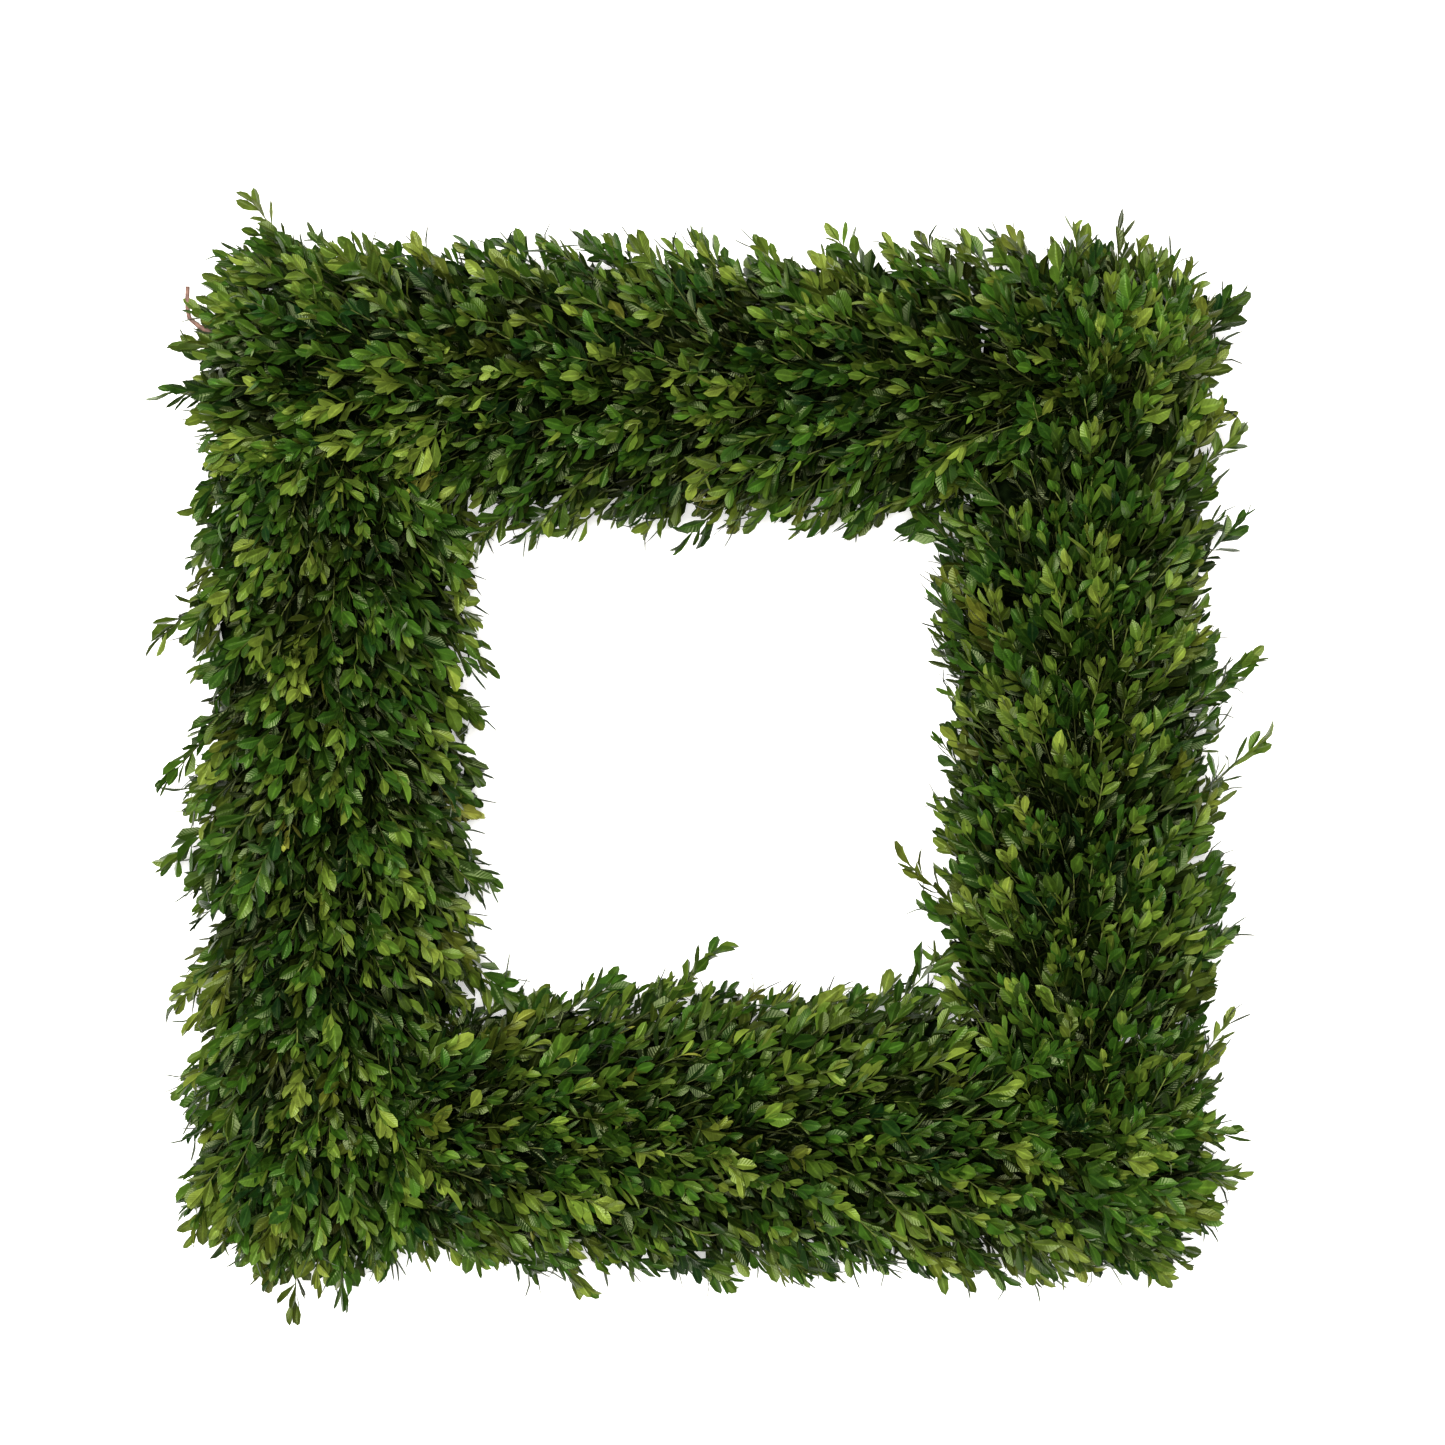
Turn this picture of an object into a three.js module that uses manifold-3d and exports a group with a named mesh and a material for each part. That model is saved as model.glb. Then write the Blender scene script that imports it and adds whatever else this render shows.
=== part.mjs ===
// A square wreath of preserved boxwood, lying on its back, in millimetres.
// +Z points out of the wreath's face, +Y is its top and +X its right, seen from the front.
// Four straight bars of leafy bunches lie pinwheel fashion on a welded square wire frame.
// All tips point one way round, anticlockwise seen from the front, and a binding wire ties each bunch down.
import * as THREE from "three";
import { mergeVertices } from "three/addons/utils/BufferGeometryUtils.js";
import Module from "manifold-3d";

// Driving dimensions.
const BODY = 505; // side of the leafy square, without the tips that stand out of it
const BAR = 135; // width of one leafy bar
const FACE_HEIGHT = 88; // height of the leafy face over the surface that the wreath lies on
const BUNCHES = 6; // bunches on one bar
const SPRIGS = 4; // leafy sprigs that every second bunch shows in this model; those between show one fewer
const CORNER_SPRIGS = 5; // and those of the bunch that fills a corner
const STRAY = 32; // how far the longest sprigs stand out of the leafy square

// The wire frame.
const WIRE = 3.2; // thickness of the frame's wire, across its flats
const RAIL_SPACING = 30; // between the middles of the two rails
const RAIL_CORNER = 12; // bend radius of the inner rail's own middle line
const WELD_DEPTH = 0.6; // how far a rail is sunk into a cross brace
const BRACE_OVERHANG = 3; // how far a cross brace reaches past each rail
const BRACE_PLACES = [0]; // places of the cross braces along one side, from its middle

// The binding wire.
const BINDING = 1.0; // its thickness
const CLEARANCE = 0.3; // gap between pieces that bear on each other

// A bunch: cut stems, a dense leafy middle and the sprigs that stand out of it.
const TAIL = 13; // length of the cut stems that show behind a bunch
const STEMS = 3; // cut stems side by side in a tail
const STEM = 9; // width of one of them
const STEM_HEIGHT = 5;
const TAIL_ROOT = 5; // how far they run on into the leafy middle
const TAIL_GAP = 2; // from the bunch before to their cut ends
const CORE_REAR = { half: 41, height: 49 }; // the dense middle flares from here
const CORE_FRONT = { half: 53, height: 60 }; // to here
const CORE_NOSE = { half: 25, height: 38 }; // the one in a corner closes again to this
const CORNER_WIDEST = 0.5; // and is widest here, as a share of its length
const CORNER_REACH = 30; // how much longer than the others it is
const UNDERSIDE = 0.6; // width of a middle's flat underside, as a share of its own
const OVER_TIE = STEM_HEIGHT + BINDING + 2 * CLEARANCE + 1; // its first part stays this far over the rails
const CORE_LEAVES = 7; // leaves in each row round it
const CORE_ROW = 14; // from one row of them to the next
const SLANT = 0.35; // how far a middle leans forward, for its height
const FLANK = 0.32; // a middle is widest at this share of its height
const ROW_SHIFT = 0.2; // every second row is turned this far on, as a share of the step between two leaves
const FOOT_SPREAD = 0.12; // and each leaf's foot is this far out of step
const SPRIG_ROOM = THREE.MathUtils.degToRad(16); // no leaf of the middle stands nearer than this to a sprig

// One sprig and its leaves, larger than life so that few of them cover the face.
const TWIG = 2.0; // width of the twig
const TWIG_HEIGHT = 2.2;
const LEAF = { length: 29, width: 15, foot: 4.5 }; // a leaf of the dense middle
const LEAF_RISE = { least: THREE.MathUtils.degToRad(29), spread: THREE.MathUtils.degToRad(4) };
const LEAF_SWING = 0.2; // radians that it may turn to either side
const LEAF_SIZE = { least: 0.85, spread: 0.3 }; // as a share of its length
const SPRIG_LEAF = { length: 24, width: 12.5 };
const PAIRS = 2; // pairs of leaves on a long sprig, besides the one at its tip
const PAIR_ANGLE = THREE.MathUtils.degToRad(48); // between a leaf and its twig
const PAIR_GAP = 15; // between one pair of leaves and the next
const TIP_GAP = 9; // between the last pair and the leaf at the tip
const PAIR_FOOT = 2.6; // length of twig that a pair grows from
const PAIR_TILT = { least: 0.2, spread: 0.45 }; // radians that a leaf of a pair stands up
const LONG_STRAY = 9; // a sprig that stands out further than this has all its pairs

// How a bunch's sprigs fan out: from the outer side to the one towards the hole, in degrees from straight up.
const FAN = [-84, 84];
const FAN_BEFORE_CORNER = [-86, 30];
const FAN_IN_CORNER = [-86, 40];
const FAN_SHIFT = 16; // how far apart two sprigs of one place may lie
const ROOT_DEPTH = 14; // a sprig's root lies this far from the line that they fan out from
const ROOT_AHEAD = { least: 24, spread: 8 }; // and this far from the bunch's rear end
const RAISED_TIP = 72; // from the bunch's rear end to the tip of a raised sprig
const FLAT_TIP = 86; // and of one that lies flatter
const TIP_SPREAD = 8;
const END_TIP = 78; // the same in a corner, for those that stand up
const CLOSING_TIP = 112; // and for those that close the end of the bar
const CLOSING_HEIGHT = 0.35; // and stay this low, as a share of the usual reach
const BOW = { least: 3, spread: 5 };
const TWIST = { lean: 0.8, spread: 0.7 }; // radians that a sprig turns round its own twig
const SPRIG_SEED = 61;
const MIDDLE_SEED = 1000;

// The bare twig end that sticks out of the top left corner, in the top bar's own frame: along, across, up.
const BARE_TWIG = [[328, -10, 34], [356, -22, 39], [374, -32, 41], [373, -48, 43]];
const BARE_TWIG_WIDTH = 2.0;
const TOP_BAR = 2;

const CENTRE = (BODY - BAR) / 2; // from the wreath's middle to the middle line of a bar
const START = -(BODY / 2 - BAR); // where a bar begins, along its own length
const RAIL_Z = WIRE / 2 + WIRE - WELD_DEPTH;
const BED = RAIL_Z + WIRE / 2 + CLEARANCE; // height that the bunches lie at
const STRAIGHT_END = CENTRE - RAIL_SPACING / 2 - RAIL_CORNER - START; // where the rails begin to bend
const FIRST = -18; // where the first bunch begins, tucked under the end of the bar behind it
const PITCH = (STRAIGHT_END - TAIL - FIRST) / (BUNCHES - 1); // the last bunch is tied just before the bend
const WALL = 47; // a bar's last two bunches keep this near its middle line, where the next bar begins
const SEAM_ANGLE = THREE.MathUtils.degToRad(40); // from straight up, where a leaf would reach the next bar
const AXIS_HEIGHT = 25; // height of the line that the sprigs fan out from
const REACH = { side: BAR / 2, face: FACE_HEIGHT - AXIS_HEIGHT };

const wasm = await Module();
wasm.setup();

// A closed geometry as a solid that can be joined to others.
function solid(geometry) {
  const bare = geometry.clone();
  bare.deleteAttribute("normal");
  bare.deleteAttribute("uv");
  const merged = mergeVertices(bare, 1e-4);
  return new wasm.Manifold(
    new wasm.Mesh({
      numProp: 3,
      vertProperties: new Float32Array(merged.attributes.position.array),
      triVerts: new Uint32Array(merged.index.array),
    }),
  );
}

function join(solids) {
  return solids.reduce((whole, next) => whole.add(next));
}

function geometryOf(made) {
  const mesh = made.getMesh();
  const geometry = new THREE.BufferGeometry();
  geometry.setAttribute("position", new THREE.BufferAttribute(mesh.vertProperties, 3));
  geometry.setIndex(new THREE.BufferAttribute(mesh.triVerts, 1));
  return geometry;
}

function namedMesh(name, made, material) {
  const mesh = new THREE.Mesh(geometryOf(made), material);
  mesh.geometry.computeVertexNormals();
  mesh.name = name;
  return mesh;
}

// Evenly spread numbers from 0 to 1, the same in every run.
function seeded(seed) {
  let state = (seed * 2654435761) >>> 0;
  return () => {
    state = (Math.imul(state, 1664525) + 1013904223) >>> 0;
    return state / 4294967296;
  };
}

// A closed solid from points and faces, where each face is a list of points in one plane.
function faceted(points, faces) {
  const geometry = new THREE.BufferGeometry();
  const index = faces.flatMap((face) => {
    const fan = [];
    for (let i = 1; i < face.length - 1; i++) fan.push(face[0], face[i], face[i + 1]);
    return fan;
  });
  const flat = points.flatMap((p) => [p.x, p.y, p.z]);
  geometry.setAttribute("position", new THREE.Float32BufferAttribute(flat, 3));
  geometry.setIndex(index);
  return geometry;
}

// A rounded square ring of wire, lying flat around the origin.
function rail(half, corner) {
  const outline = (shape, offset) => {
    const radius = corner + offset;
    const straight = half - corner;
    for (let side = 0; side < 4; side++) {
      const turn = (side * Math.PI) / 2;
      const [x, y] = [Math.cos(turn) - Math.sin(turn), Math.sin(turn) + Math.cos(turn)];
      shape.absarc(x * straight, y * straight, radius, turn, turn + Math.PI / 2, false);
    }
    return shape;
  };
  const shape = outline(new THREE.Shape(), WIRE / 2);
  shape.holes.push(outline(new THREE.Path(), -WIRE / 2));
  const geometry = new THREE.ExtrudeGeometry(shape, { depth: WIRE, curveSegments: 3, bevelEnabled: false });
  return geometry.translate(0, 0, RAIL_Z - WIRE / 2);
}

// A short square cross bar under both rails, centred at a place on the frame and turned about Z.
function brace(x, y, turn, length) {
  return new THREE.BoxGeometry(WIRE, length, WIRE).rotateZ(turn).translate(x, y, WIRE / 2);
}

function wireFrame(material) {
  const half = RAIL_SPACING / 2;
  const parts = [
    solid(rail(CENTRE - half, RAIL_CORNER)),
    solid(rail(CENTRE + half, RAIL_CORNER + RAIL_SPACING)),
  ];
  const straight = RAIL_SPACING + WIRE + 2 * BRACE_OVERHANG;
  for (let side = 0; side < 4; side++) {
    const turn = (side * Math.PI) / 2;
    const place = (along) => new THREE.Vector2(along, -CENTRE).rotateAround(new THREE.Vector2(), turn);
    for (const along of BRACE_PLACES) {
      const at = place(along);
      parts.push(solid(brace(at.x, at.y, turn, straight)));
    }
    // The corner brace lies square to the two rounded bends, half way round them.
    const bend = CENTRE - half - RAIL_CORNER + (RAIL_CORNER + half) * Math.SQRT1_2;
    const corner = new THREE.Vector2(-bend, -bend).rotateAround(new THREE.Vector2(), turn);
    parts.push(solid(brace(corner.x, corner.y, turn - Math.PI / 4, straight)));
  }
  return namedMesh("wire_frame", join(parts), material);
}

// A wire of even thickness along a line of points.
function wireAlong(points, thickness, sides) {
  const rings = [];
  const tangents = points.map((p, i) => {
    const before = points[Math.max(0, i - 1)];
    const after = points[Math.min(points.length - 1, i + 1)];
    return after.clone().sub(before).normalize();
  });
  let normal = new THREE.Vector3(0, 0, 1).cross(tangents[0]).normalize();
  points.forEach((p, i) => {
    normal = normal.addScaledVector(tangents[i], -normal.dot(tangents[i])).normalize();
    const across = tangents[i].clone().cross(normal);
    for (let k = 0; k < sides; k++) {
      const angle = (2 * Math.PI * k) / sides;
      rings.push(
        p
          .clone()
          .addScaledVector(normal, (Math.cos(angle) * thickness) / 2)
          .addScaledVector(across, (Math.sin(angle) * thickness) / 2),
      );
    }
  });
  const faces = [[...Array(sides).keys()].reverse()];
  for (let i = 0; i < points.length - 1; i++) {
    for (let k = 0; k < sides; k++) {
      const [a, b] = [i * sides + k, i * sides + ((k + 1) % sides)];
      faces.push([a, b, b + sides], [a, b + sides, a + sides]);
    }
  }
  faces.push([...Array(sides).keys()].map((k) => (points.length - 1) * sides + k));
  return faceted(rings, faces);
}

// From a bar's own frame, along its flow, across it towards the hole and up, to the wreath's.
function barMatrix(bar) {
  const place = new THREE.Matrix4().makeTranslation(START, -CENTRE, 0);
  return new THREE.Matrix4().makeRotationZ((bar * Math.PI) / 2).multiply(place);
}

// One turn round the rails and the cut stems of each bunch, leaning forward a little to clear itself.
// Between turns the wire lies between the rails.
function bindingPoints() {
  const beside = RAIL_SPACING / 2 + WIRE / 2 + CLEARANCE + BINDING / 2;
  const below = RAIL_Z - WIRE / 2 - CLEARANCE - BINDING / 2;
  const above = BED + STEM_HEIGHT + CLEARANCE + BINDING / 2;
  const between = WIRE + CLEARANCE + BINDING / 2 + 0.2;
  const points = [];
  for (let bar = 0; bar < 4; bar++) {
    const matrix = barMatrix(bar);
    for (let k = 0; k < BUNCHES; k++) {
      const s = FIRST + k * PITCH + TAIL / 2;
      const turn = [
        [s - 2.5, 0, between],
        [s - 1, RAIL_SPACING / 2 - 3, below],
        [s - 0.5, beside, below],
        [s, beside, above],
        [s + 0.5, -beside, above],
        [s + 1, -beside, below],
        [s + 1.5, 3 - RAIL_SPACING / 2, below],
        [s + 3, 0, between],
      ];
      turn.forEach((at) => points.push(new THREE.Vector3(...at).applyMatrix4(matrix)));
    }
    // Round the corner, half way between the rails.
    for (const share of [0, 0.5, 1]) {
      const angle = (share * Math.PI) / 2;
      const radius = RAIL_CORNER + RAIL_SPACING / 2;
      points.push(new THREE.Vector3(
        STRAIGHT_END + radius * Math.sin(angle),
        radius * (1 - Math.cos(angle)),
        between,
      ).applyMatrix4(matrix));
    }
  }
  return points;
}

// The cut stems behind a bunch, side by side on the rails: flat under, ridged over.
function tail(s) {
  const half = (STEMS * STEM) / 2 + 2;
  const outline = [new THREE.Vector2(-half, 0), new THREE.Vector2(half, 0)];
  for (let i = STEMS; i > 0; i--) {
    const right = ((2 * i - STEMS) * STEM) / 2;
    outline.push(new THREE.Vector2(right, STEM_HEIGHT * 0.6));
    outline.push(new THREE.Vector2(right - STEM / 2, STEM_HEIGHT));
  }
  outline.push(new THREE.Vector2((-STEMS * STEM) / 2, STEM_HEIGHT * 0.6));
  const depth = TAIL + TAIL_ROOT;
  const geometry = new THREE.ExtrudeGeometry(new THREE.Shape(outline), { depth, bevelEnabled: false });
  // The outline's x runs across the bar and its y up; the extrusion runs along the bar.
  geometry.applyMatrix4(new THREE.Matrix4().makeBasis(
    new THREE.Vector3(0, 1, 0),
    new THREE.Vector3(0, 0, 1),
    new THREE.Vector3(1, 0, 0),
  ));
  return geometry.translate(s + TAIL_GAP, 0, BED);
}

// Half width and height of a bunch's dense middle at a share of its length. The one in a corner closes only
// on its outer side: its inner side runs on along the next bar.
function coreSize(share, last) {
  const widest = last ? CORNER_WIDEST : 1;
  const [from, to, part] =
    share <= widest
      ? [CORE_REAR, CORE_FRONT, share / widest]
      : [CORE_FRONT, CORE_NOSE, (share - widest) / (1 - widest)];
  const half = THREE.MathUtils.lerp(from.half, to.half, part);
  return { half, inner: last ? WALL : half, height: THREE.MathUtils.lerp(from.height, to.height, part) };
}

// One ring round the dense middle: two points under it, and between them a short edge for each leaf's foot.
// Each short edge keeps its angle from straight up.
function coreRing(along, slant, size, under, shift, draw) {
  const low = FLANK * size.height;
  const angles = [];
  const foremost = along + slant * (under - BED);
  const ring = [new THREE.Vector3(foremost, -UNDERSIDE * size.half, under)];
  for (let i = 0; i < CORE_LEAVES; i++) {
    const place = (i + 0.5 + shift + FOOT_SPREAD * (draw() - 0.5)) / CORE_LEAVES;
    const middle = THREE.MathUtils.degToRad(-90 + 180 * place);
    angles.push(middle);
    const half = middle > 0 ? size.inner : size.half;
    const foot = LEAF.foot / 2 / half;
    for (const angle of [middle - foot, middle + foot]) {
      const up = low + (size.height - low) * Math.cos(angle);
      ring.push(new THREE.Vector3(along + slant * up, half * Math.sin(angle), BED + up));
    }
  }
  ring.push(new THREE.Vector3(foremost, UNDERSIDE * size.inner, under));
  return { ring, angles };
}

// A leaf that grows from the edge between two points: its outer shoulder, its tip and its other shoulder.
function coreLeaf(left, right, behind, width, draw) {
  const across = right.clone().sub(left).normalize();
  const foot = left.clone().lerp(right, 0.5);
  const surface = foot.clone().sub(behind).normalize();
  const normal = surface.clone().cross(across).normalize();
  const rise = LEAF_RISE.least + LEAF_RISE.spread * draw();
  const swing = LEAF_SWING * (2 * draw() - 1);
  const size = LEAF_SIZE.least + LEAF_SIZE.spread * draw();
  const forward = surface.multiplyScalar(Math.cos(rise)).addScaledVector(normal, Math.sin(rise));
  const ahead = forward.clone().multiplyScalar(Math.cos(swing)).addScaledVector(across, Math.sin(swing));
  const wide = across.multiplyScalar(Math.cos(swing)).addScaledVector(forward, -Math.sin(swing));
  return [[0.5, -1], [1, 0], [0.5, 1]].map(([along, out]) =>
    foot.clone()
      .addScaledVector(ahead, along * size * LEAF.length)
      .addScaledVector(wide, (out * width) / 2));
}

// The dense middle of a bunch: rows of leaves that point forward and out, one row over the next.
// Its foremost rows leave room for the sprigs, each at its own angle from straight up. There are no leaves
// where they would cross the seam to the next bar.
function core(s, length, k, sprigAngles, draw) {
  const last = k === BUNCHES - 1;
  const rows = Math.round(length / CORE_ROW);
  const n = 2 * CORE_LEAVES + 2;
  const points = [];
  const angles = [];
  for (let row = 0; row <= rows; row++) {
    const shift = row % 2 ? ROW_SHIFT : -ROW_SHIFT;
    const under = row < 2 ? BED + OVER_TIE : BED;
    const share = row / rows;
    // Both ends of a bar stand upright.
    const slant = SLANT * (k === 0 ? share : 1) * (last ? 1 - share : 1);
    const made = coreRing(s + share * length, slant, coreSize(share, last), under, shift, draw);
    if (k >= BUNCHES - 2) made.ring.forEach((point) => (point.y = Math.min(point.y, WALL)));
    points.push(...made.ring);
    angles.push(made.angles);
  }
  const isBare = (row, angle, i) => {
    if (last && (angle > SEAM_ANGLE || (row === rows && i % 4 === 1))) return true;
    if (k === BUNCHES - 2 && row >= rows - 1 && angle > SEAM_ANGLE) return true;
    if (k === 0 && row === 1 && angle > SEAM_ANGLE) return true;
    return row > rows - 2 && sprigAngles.some((other) => Math.abs(other - angle) < SPRIG_ROOM);
  };
  const cap = (row) => [...Array(n).keys()].map((i) => row * n + i);
  const faces = [cap(0)];
  for (let row = 1; row <= rows; row++) {
    const width = LEAF.width * (0.3 + 0.7 * (coreSize(row / rows, last).half / CORE_FRONT.half));
    for (let i = 0; i < n; i++) {
      const [c, d] = [row * n + ((i + 1) % n), row * n + i];
      const [b, a] = [c - n, d - n];
      const angle = angles[row][(i - 1) / 2];
      if (angle === undefined || isBare(row, angle, i)) {
        faces.push([a, c, b], [a, d, c]);
        continue;
      }
      const behind = points[a].clone().lerp(points[b], 0.5);
      const l = points.length;
      const [end, r] = [l + 1, l + 2];
      points.push(...coreLeaf(points[d], points[c], behind, width, draw));
      faces.push([a, c, b], [a, d, l], [a, l, end], [a, end, r], [a, r, c], [d, c, r, end, l]);
    }
  }
  faces.push(cap(rows).toReversed());
  return faceted(points, faces);
}

// A leaf's outline beside its twig, all in one plane: outer shoulder, tip and inner shoulder.
function pairLeaf(foot, headFoot, forward, side, up, tilt) {
  const out = side.clone().multiplyScalar(Math.cos(tilt)).addScaledVector(up, Math.sin(tilt));
  const [ahead, aside] = [Math.cos(PAIR_ANGLE), Math.sin(PAIR_ANGLE)];
  const axis = forward.clone().multiplyScalar(ahead).addScaledVector(out, aside);
  const back = out.clone().multiplyScalar(ahead).addScaledVector(forward, -aside);
  const at = (from, along, wide) =>
    from.clone()
      .addScaledVector(axis, along * SPRIG_LEAF.length)
      .addScaledVector(back, (wide * SPRIG_LEAF.width) / 2);
  const middle = foot.clone().lerp(headFoot, 0.5);
  return [at(foot, 0.5, 1), at(middle, 1, 0), at(headFoot, 0.52, -1)];
}

// A leafy sprig: a three-sided twig along a bowed line, leaves in opposite pairs and one at the tip.
// Its underside is flat in each leaf, and a ridge runs from the twig to each leaf's tip.
function sprig(root, tip, outward, bow, twist, pairs, draw) {
  const line = new THREE.QuadraticBezierCurve3(
    root,
    root.clone().lerp(tip, 0.5).addScaledVector(outward, bow),
    tip,
  );
  const length = line.getLength();
  const points = [];
  const faces = [];
  const stationAt = (distance, scale) => {
    const t = THREE.MathUtils.clamp(distance / length, 0, 1);
    const middle = line.getPointAt(t);
    const forward = line.getTangentAt(t);
    const across = outward.clone().cross(forward).normalize();
    const up = forward.clone().cross(across);
    const side = across.clone().applyAxisAngle(forward, twist);
    up.applyAxisAngle(forward, twist);
    const first = points.length;
    const half = (TWIG * scale) / 2;
    points.push(middle.clone().addScaledVector(side, half));
    points.push(middle.clone().addScaledVector(side, -half));
    points.push(middle.clone().addScaledVector(up, TWIG_HEIGHT * scale));
    return { first, forward, side, up };
  };
  const [LEFT, RIGHT, TOP] = [0, 1, 2];
  const bare = (a, b) => {
    faces.push([a + LEFT, b + LEFT, b + RIGHT, a + RIGHT]);
    faces.push([a + LEFT, a + TOP, b + TOP], [a + LEFT, b + TOP, b + LEFT]);
    faces.push([a + TOP, a + RIGHT, b + RIGHT], [a + TOP, b + RIGHT, b + TOP]);
  };
  const leafyFrom = length - SPRIG_LEAF.length - TIP_GAP - (pairs - 1) * PAIR_GAP;
  let last = stationAt(0, 1.25);
  faces.push([last.first + LEFT, last.first + RIGHT, last.first + TOP]);
  for (let pair = 0; pair < pairs; pair++) {
    const a = stationAt(leafyFrom + pair * PAIR_GAP, 1);
    const b = stationAt(leafyFrom + pair * PAIR_GAP + PAIR_FOOT, 1);
    bare(last.first, a.first);
    faces.push([a.first + LEFT, b.first + LEFT, b.first + RIGHT, a.first + RIGHT]);
    for (const way of [1, -1]) {
      const foot = way > 0 ? LEFT : RIGHT;
      const tilt = PAIR_TILT.least + PAIR_TILT.spread * draw();
      const side = a.side.clone().multiplyScalar(way);
      const feet = [points[a.first + foot], points[b.first + foot]];
      const outline = pairLeaf(...feet, a.forward, side, a.up, tilt);
      const n = points.length;
      points.push(...outline);
      const [shoulder, end, inner] = [n, n + 1, n + 2];
      const leafFaces = [
        [a.first + foot, shoulder, end, inner, b.first + foot],
        [a.first + foot, a.first + TOP, shoulder],
        [shoulder, a.first + TOP, end],
        [a.first + TOP, b.first + TOP, end],
        [end, b.first + TOP, inner],
        [inner, b.first + TOP, b.first + foot],
      ];
      faces.push(...leafFaces.map((face) => (way > 0 ? face : face.toReversed())));
    }
    last = b;
  }
  const end = stationAt(length - SPRIG_LEAF.length, 1);
  bare(last.first, end.first);
  // The leaf at the tip.
  const n = points.length;
  const base = points[end.first + LEFT].clone().lerp(points[end.first + RIGHT], 0.5);
  for (const [along, wide] of [[0.45, 1], [1, 0], [0.45, -1]]) {
    points.push(base.clone()
      .addScaledVector(end.forward, along * SPRIG_LEAF.length)
      .addScaledVector(end.side, (wide * SPRIG_LEAF.width) / 2));
  }
  const e = end.first;
  faces.push(
    [e + RIGHT, e + LEFT, n, n + 1, n + 2],
    [e + LEFT, e + TOP, n],
    [n, e + TOP, n + 1],
    [n + 1, e + TOP, n + 2],
    [n + 2, e + TOP, e + RIGHT],
  );
  return faceted(points, faces);
}

// How far out the leafy surface lies at an angle from straight up, round the bar's middle line.
function reachAt(angle) {
  return 1 / Math.hypot(Math.sin(angle) / REACH.side, Math.cos(angle) / REACH.face);
}

// The sprigs of one bunch in its bar's own frame: all fan out from the bar's middle line and lean forward.
// Every second one lies flatter and reaches further forward. The last bunch also closes the end of the bar,
// and leaves the side towards the hole to the next bar.
function sprigsOf(bar, k) {
  const draw = seeded(SPRIG_SEED + bar * BUNCHES + k);
  const s = FIRST + k * PITCH;
  const last = k === BUNCHES - 1;
  const count = last ? CORNER_SPRIGS : SPRIGS - (k % 2);
  const [from, to] = { [BUNCHES - 1]: FAN_IN_CORNER, [BUNCHES - 2]: FAN_BEFORE_CORNER }[k] ?? FAN;
  const made = [];
  const angles = [];
  for (let i = 0; i < count; i++) {
    const flat = (last ? i : i + k) % 2 === 1;
    const fan = from + ((to - from) * i) / (count - 1) + FAN_SHIFT * (draw() - 0.5);
    const angle = THREE.MathUtils.degToRad(fan);
    const sideways = Math.abs(Math.sin(angle));
    const stray = STRAY * draw() ** 2 * (0.3 + 0.7 * sideways);
    let ahead = (flat ? FLAT_TIP : RAISED_TIP) + TIP_SPREAD * (draw() - 0.5);
    let out = reachAt(angle);
    if (last) {
      ahead = flat ? CLOSING_TIP + stray : END_TIP;
      out *= flat ? CLOSING_HEIGHT : 1;
    }
    angles.push(angle);
    const radial = new THREE.Vector3(0, Math.sin(angle), Math.cos(angle));
    const root = new THREE.Vector3(s + ROOT_AHEAD.least + ROOT_AHEAD.spread * draw(), 0, AXIS_HEIGHT);
    root.addScaledVector(radial, ROOT_DEPTH);
    const tip = new THREE.Vector3(s + ahead, 0, AXIS_HEIGHT);
    tip.addScaledVector(radial, last && flat ? out : out + stray);
    const forward = tip.clone().sub(root).normalize();
    const outward = radial.clone().addScaledVector(forward, -radial.dot(forward)).normalize();
    const bow = BOW.least + BOW.spread * draw();
    const twist = TWIST.lean * Math.sin(angle) + TWIST.spread * (draw() - 0.5);
    const pairs = stray > LONG_STRAY || (last && flat) ? PAIRS : PAIRS - 1;
    made.push(solid(sprig(root, tip, outward, bow, twist, pairs, draw)));
  }
  return { made, angles };
}

function bareTwig() {
  return wireAlong(BARE_TWIG.map((at) => new THREE.Vector3(...at)), BARE_TWIG_WIDTH, 4);
}

function bunch(bar, k) {
  const draw = seeded(MIDDLE_SEED + bar * BUNCHES + k);
  const s = FIRST + k * PITCH;
  const last = k === BUNCHES - 1;
  const length = PITCH - 2 * CLEARANCE + (last ? CORNER_REACH : 0);
  const { made, angles } = sprigsOf(bar, k);
  if (bar === TOP_BAR && last) made.push(solid(bareTwig()));
  const whole = join([solid(tail(s)), solid(core(s, length, k, angles, draw)), ...made]);
  // Where two leaves cross they can cut off a crumb, which is dropped.
  return whole.decompose().sort((a, b) => b.volume() - a.volume())[0];
}

// Dark green paint on the welded frame.
function framePaint() {
  return new THREE.MeshStandardMaterial({ color: 0x3a4a35, roughness: 0.45, metalness: 0.3 });
}

function bindingPaint() {
  return new THREE.MeshStandardMaterial({ color: 0x2c4a2c, roughness: 0.4, metalness: 0.3 });
}

function boxwood() {
  return new THREE.MeshStandardMaterial({ color: 0x3f5a20, roughness: 0.55, metalness: 0 });
}

const wreath = new THREE.Group();
wreath.add(wireFrame(framePaint()));
wreath.add(namedMesh("binding_wire", solid(wireAlong(bindingPoints(), BINDING, 3)), bindingPaint()));
["bottom", "right", "top", "left"].forEach((name, bar) => {
  const group = new THREE.Group();
  group.applyMatrix4(barMatrix(bar));
  for (let k = 0; k < BUNCHES; k++) {
    group.add(namedMesh(`bunch_${name}_${k + 1}`, bunch(bar, k), boxwood()));
  }
  wreath.add(group);
});

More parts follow.
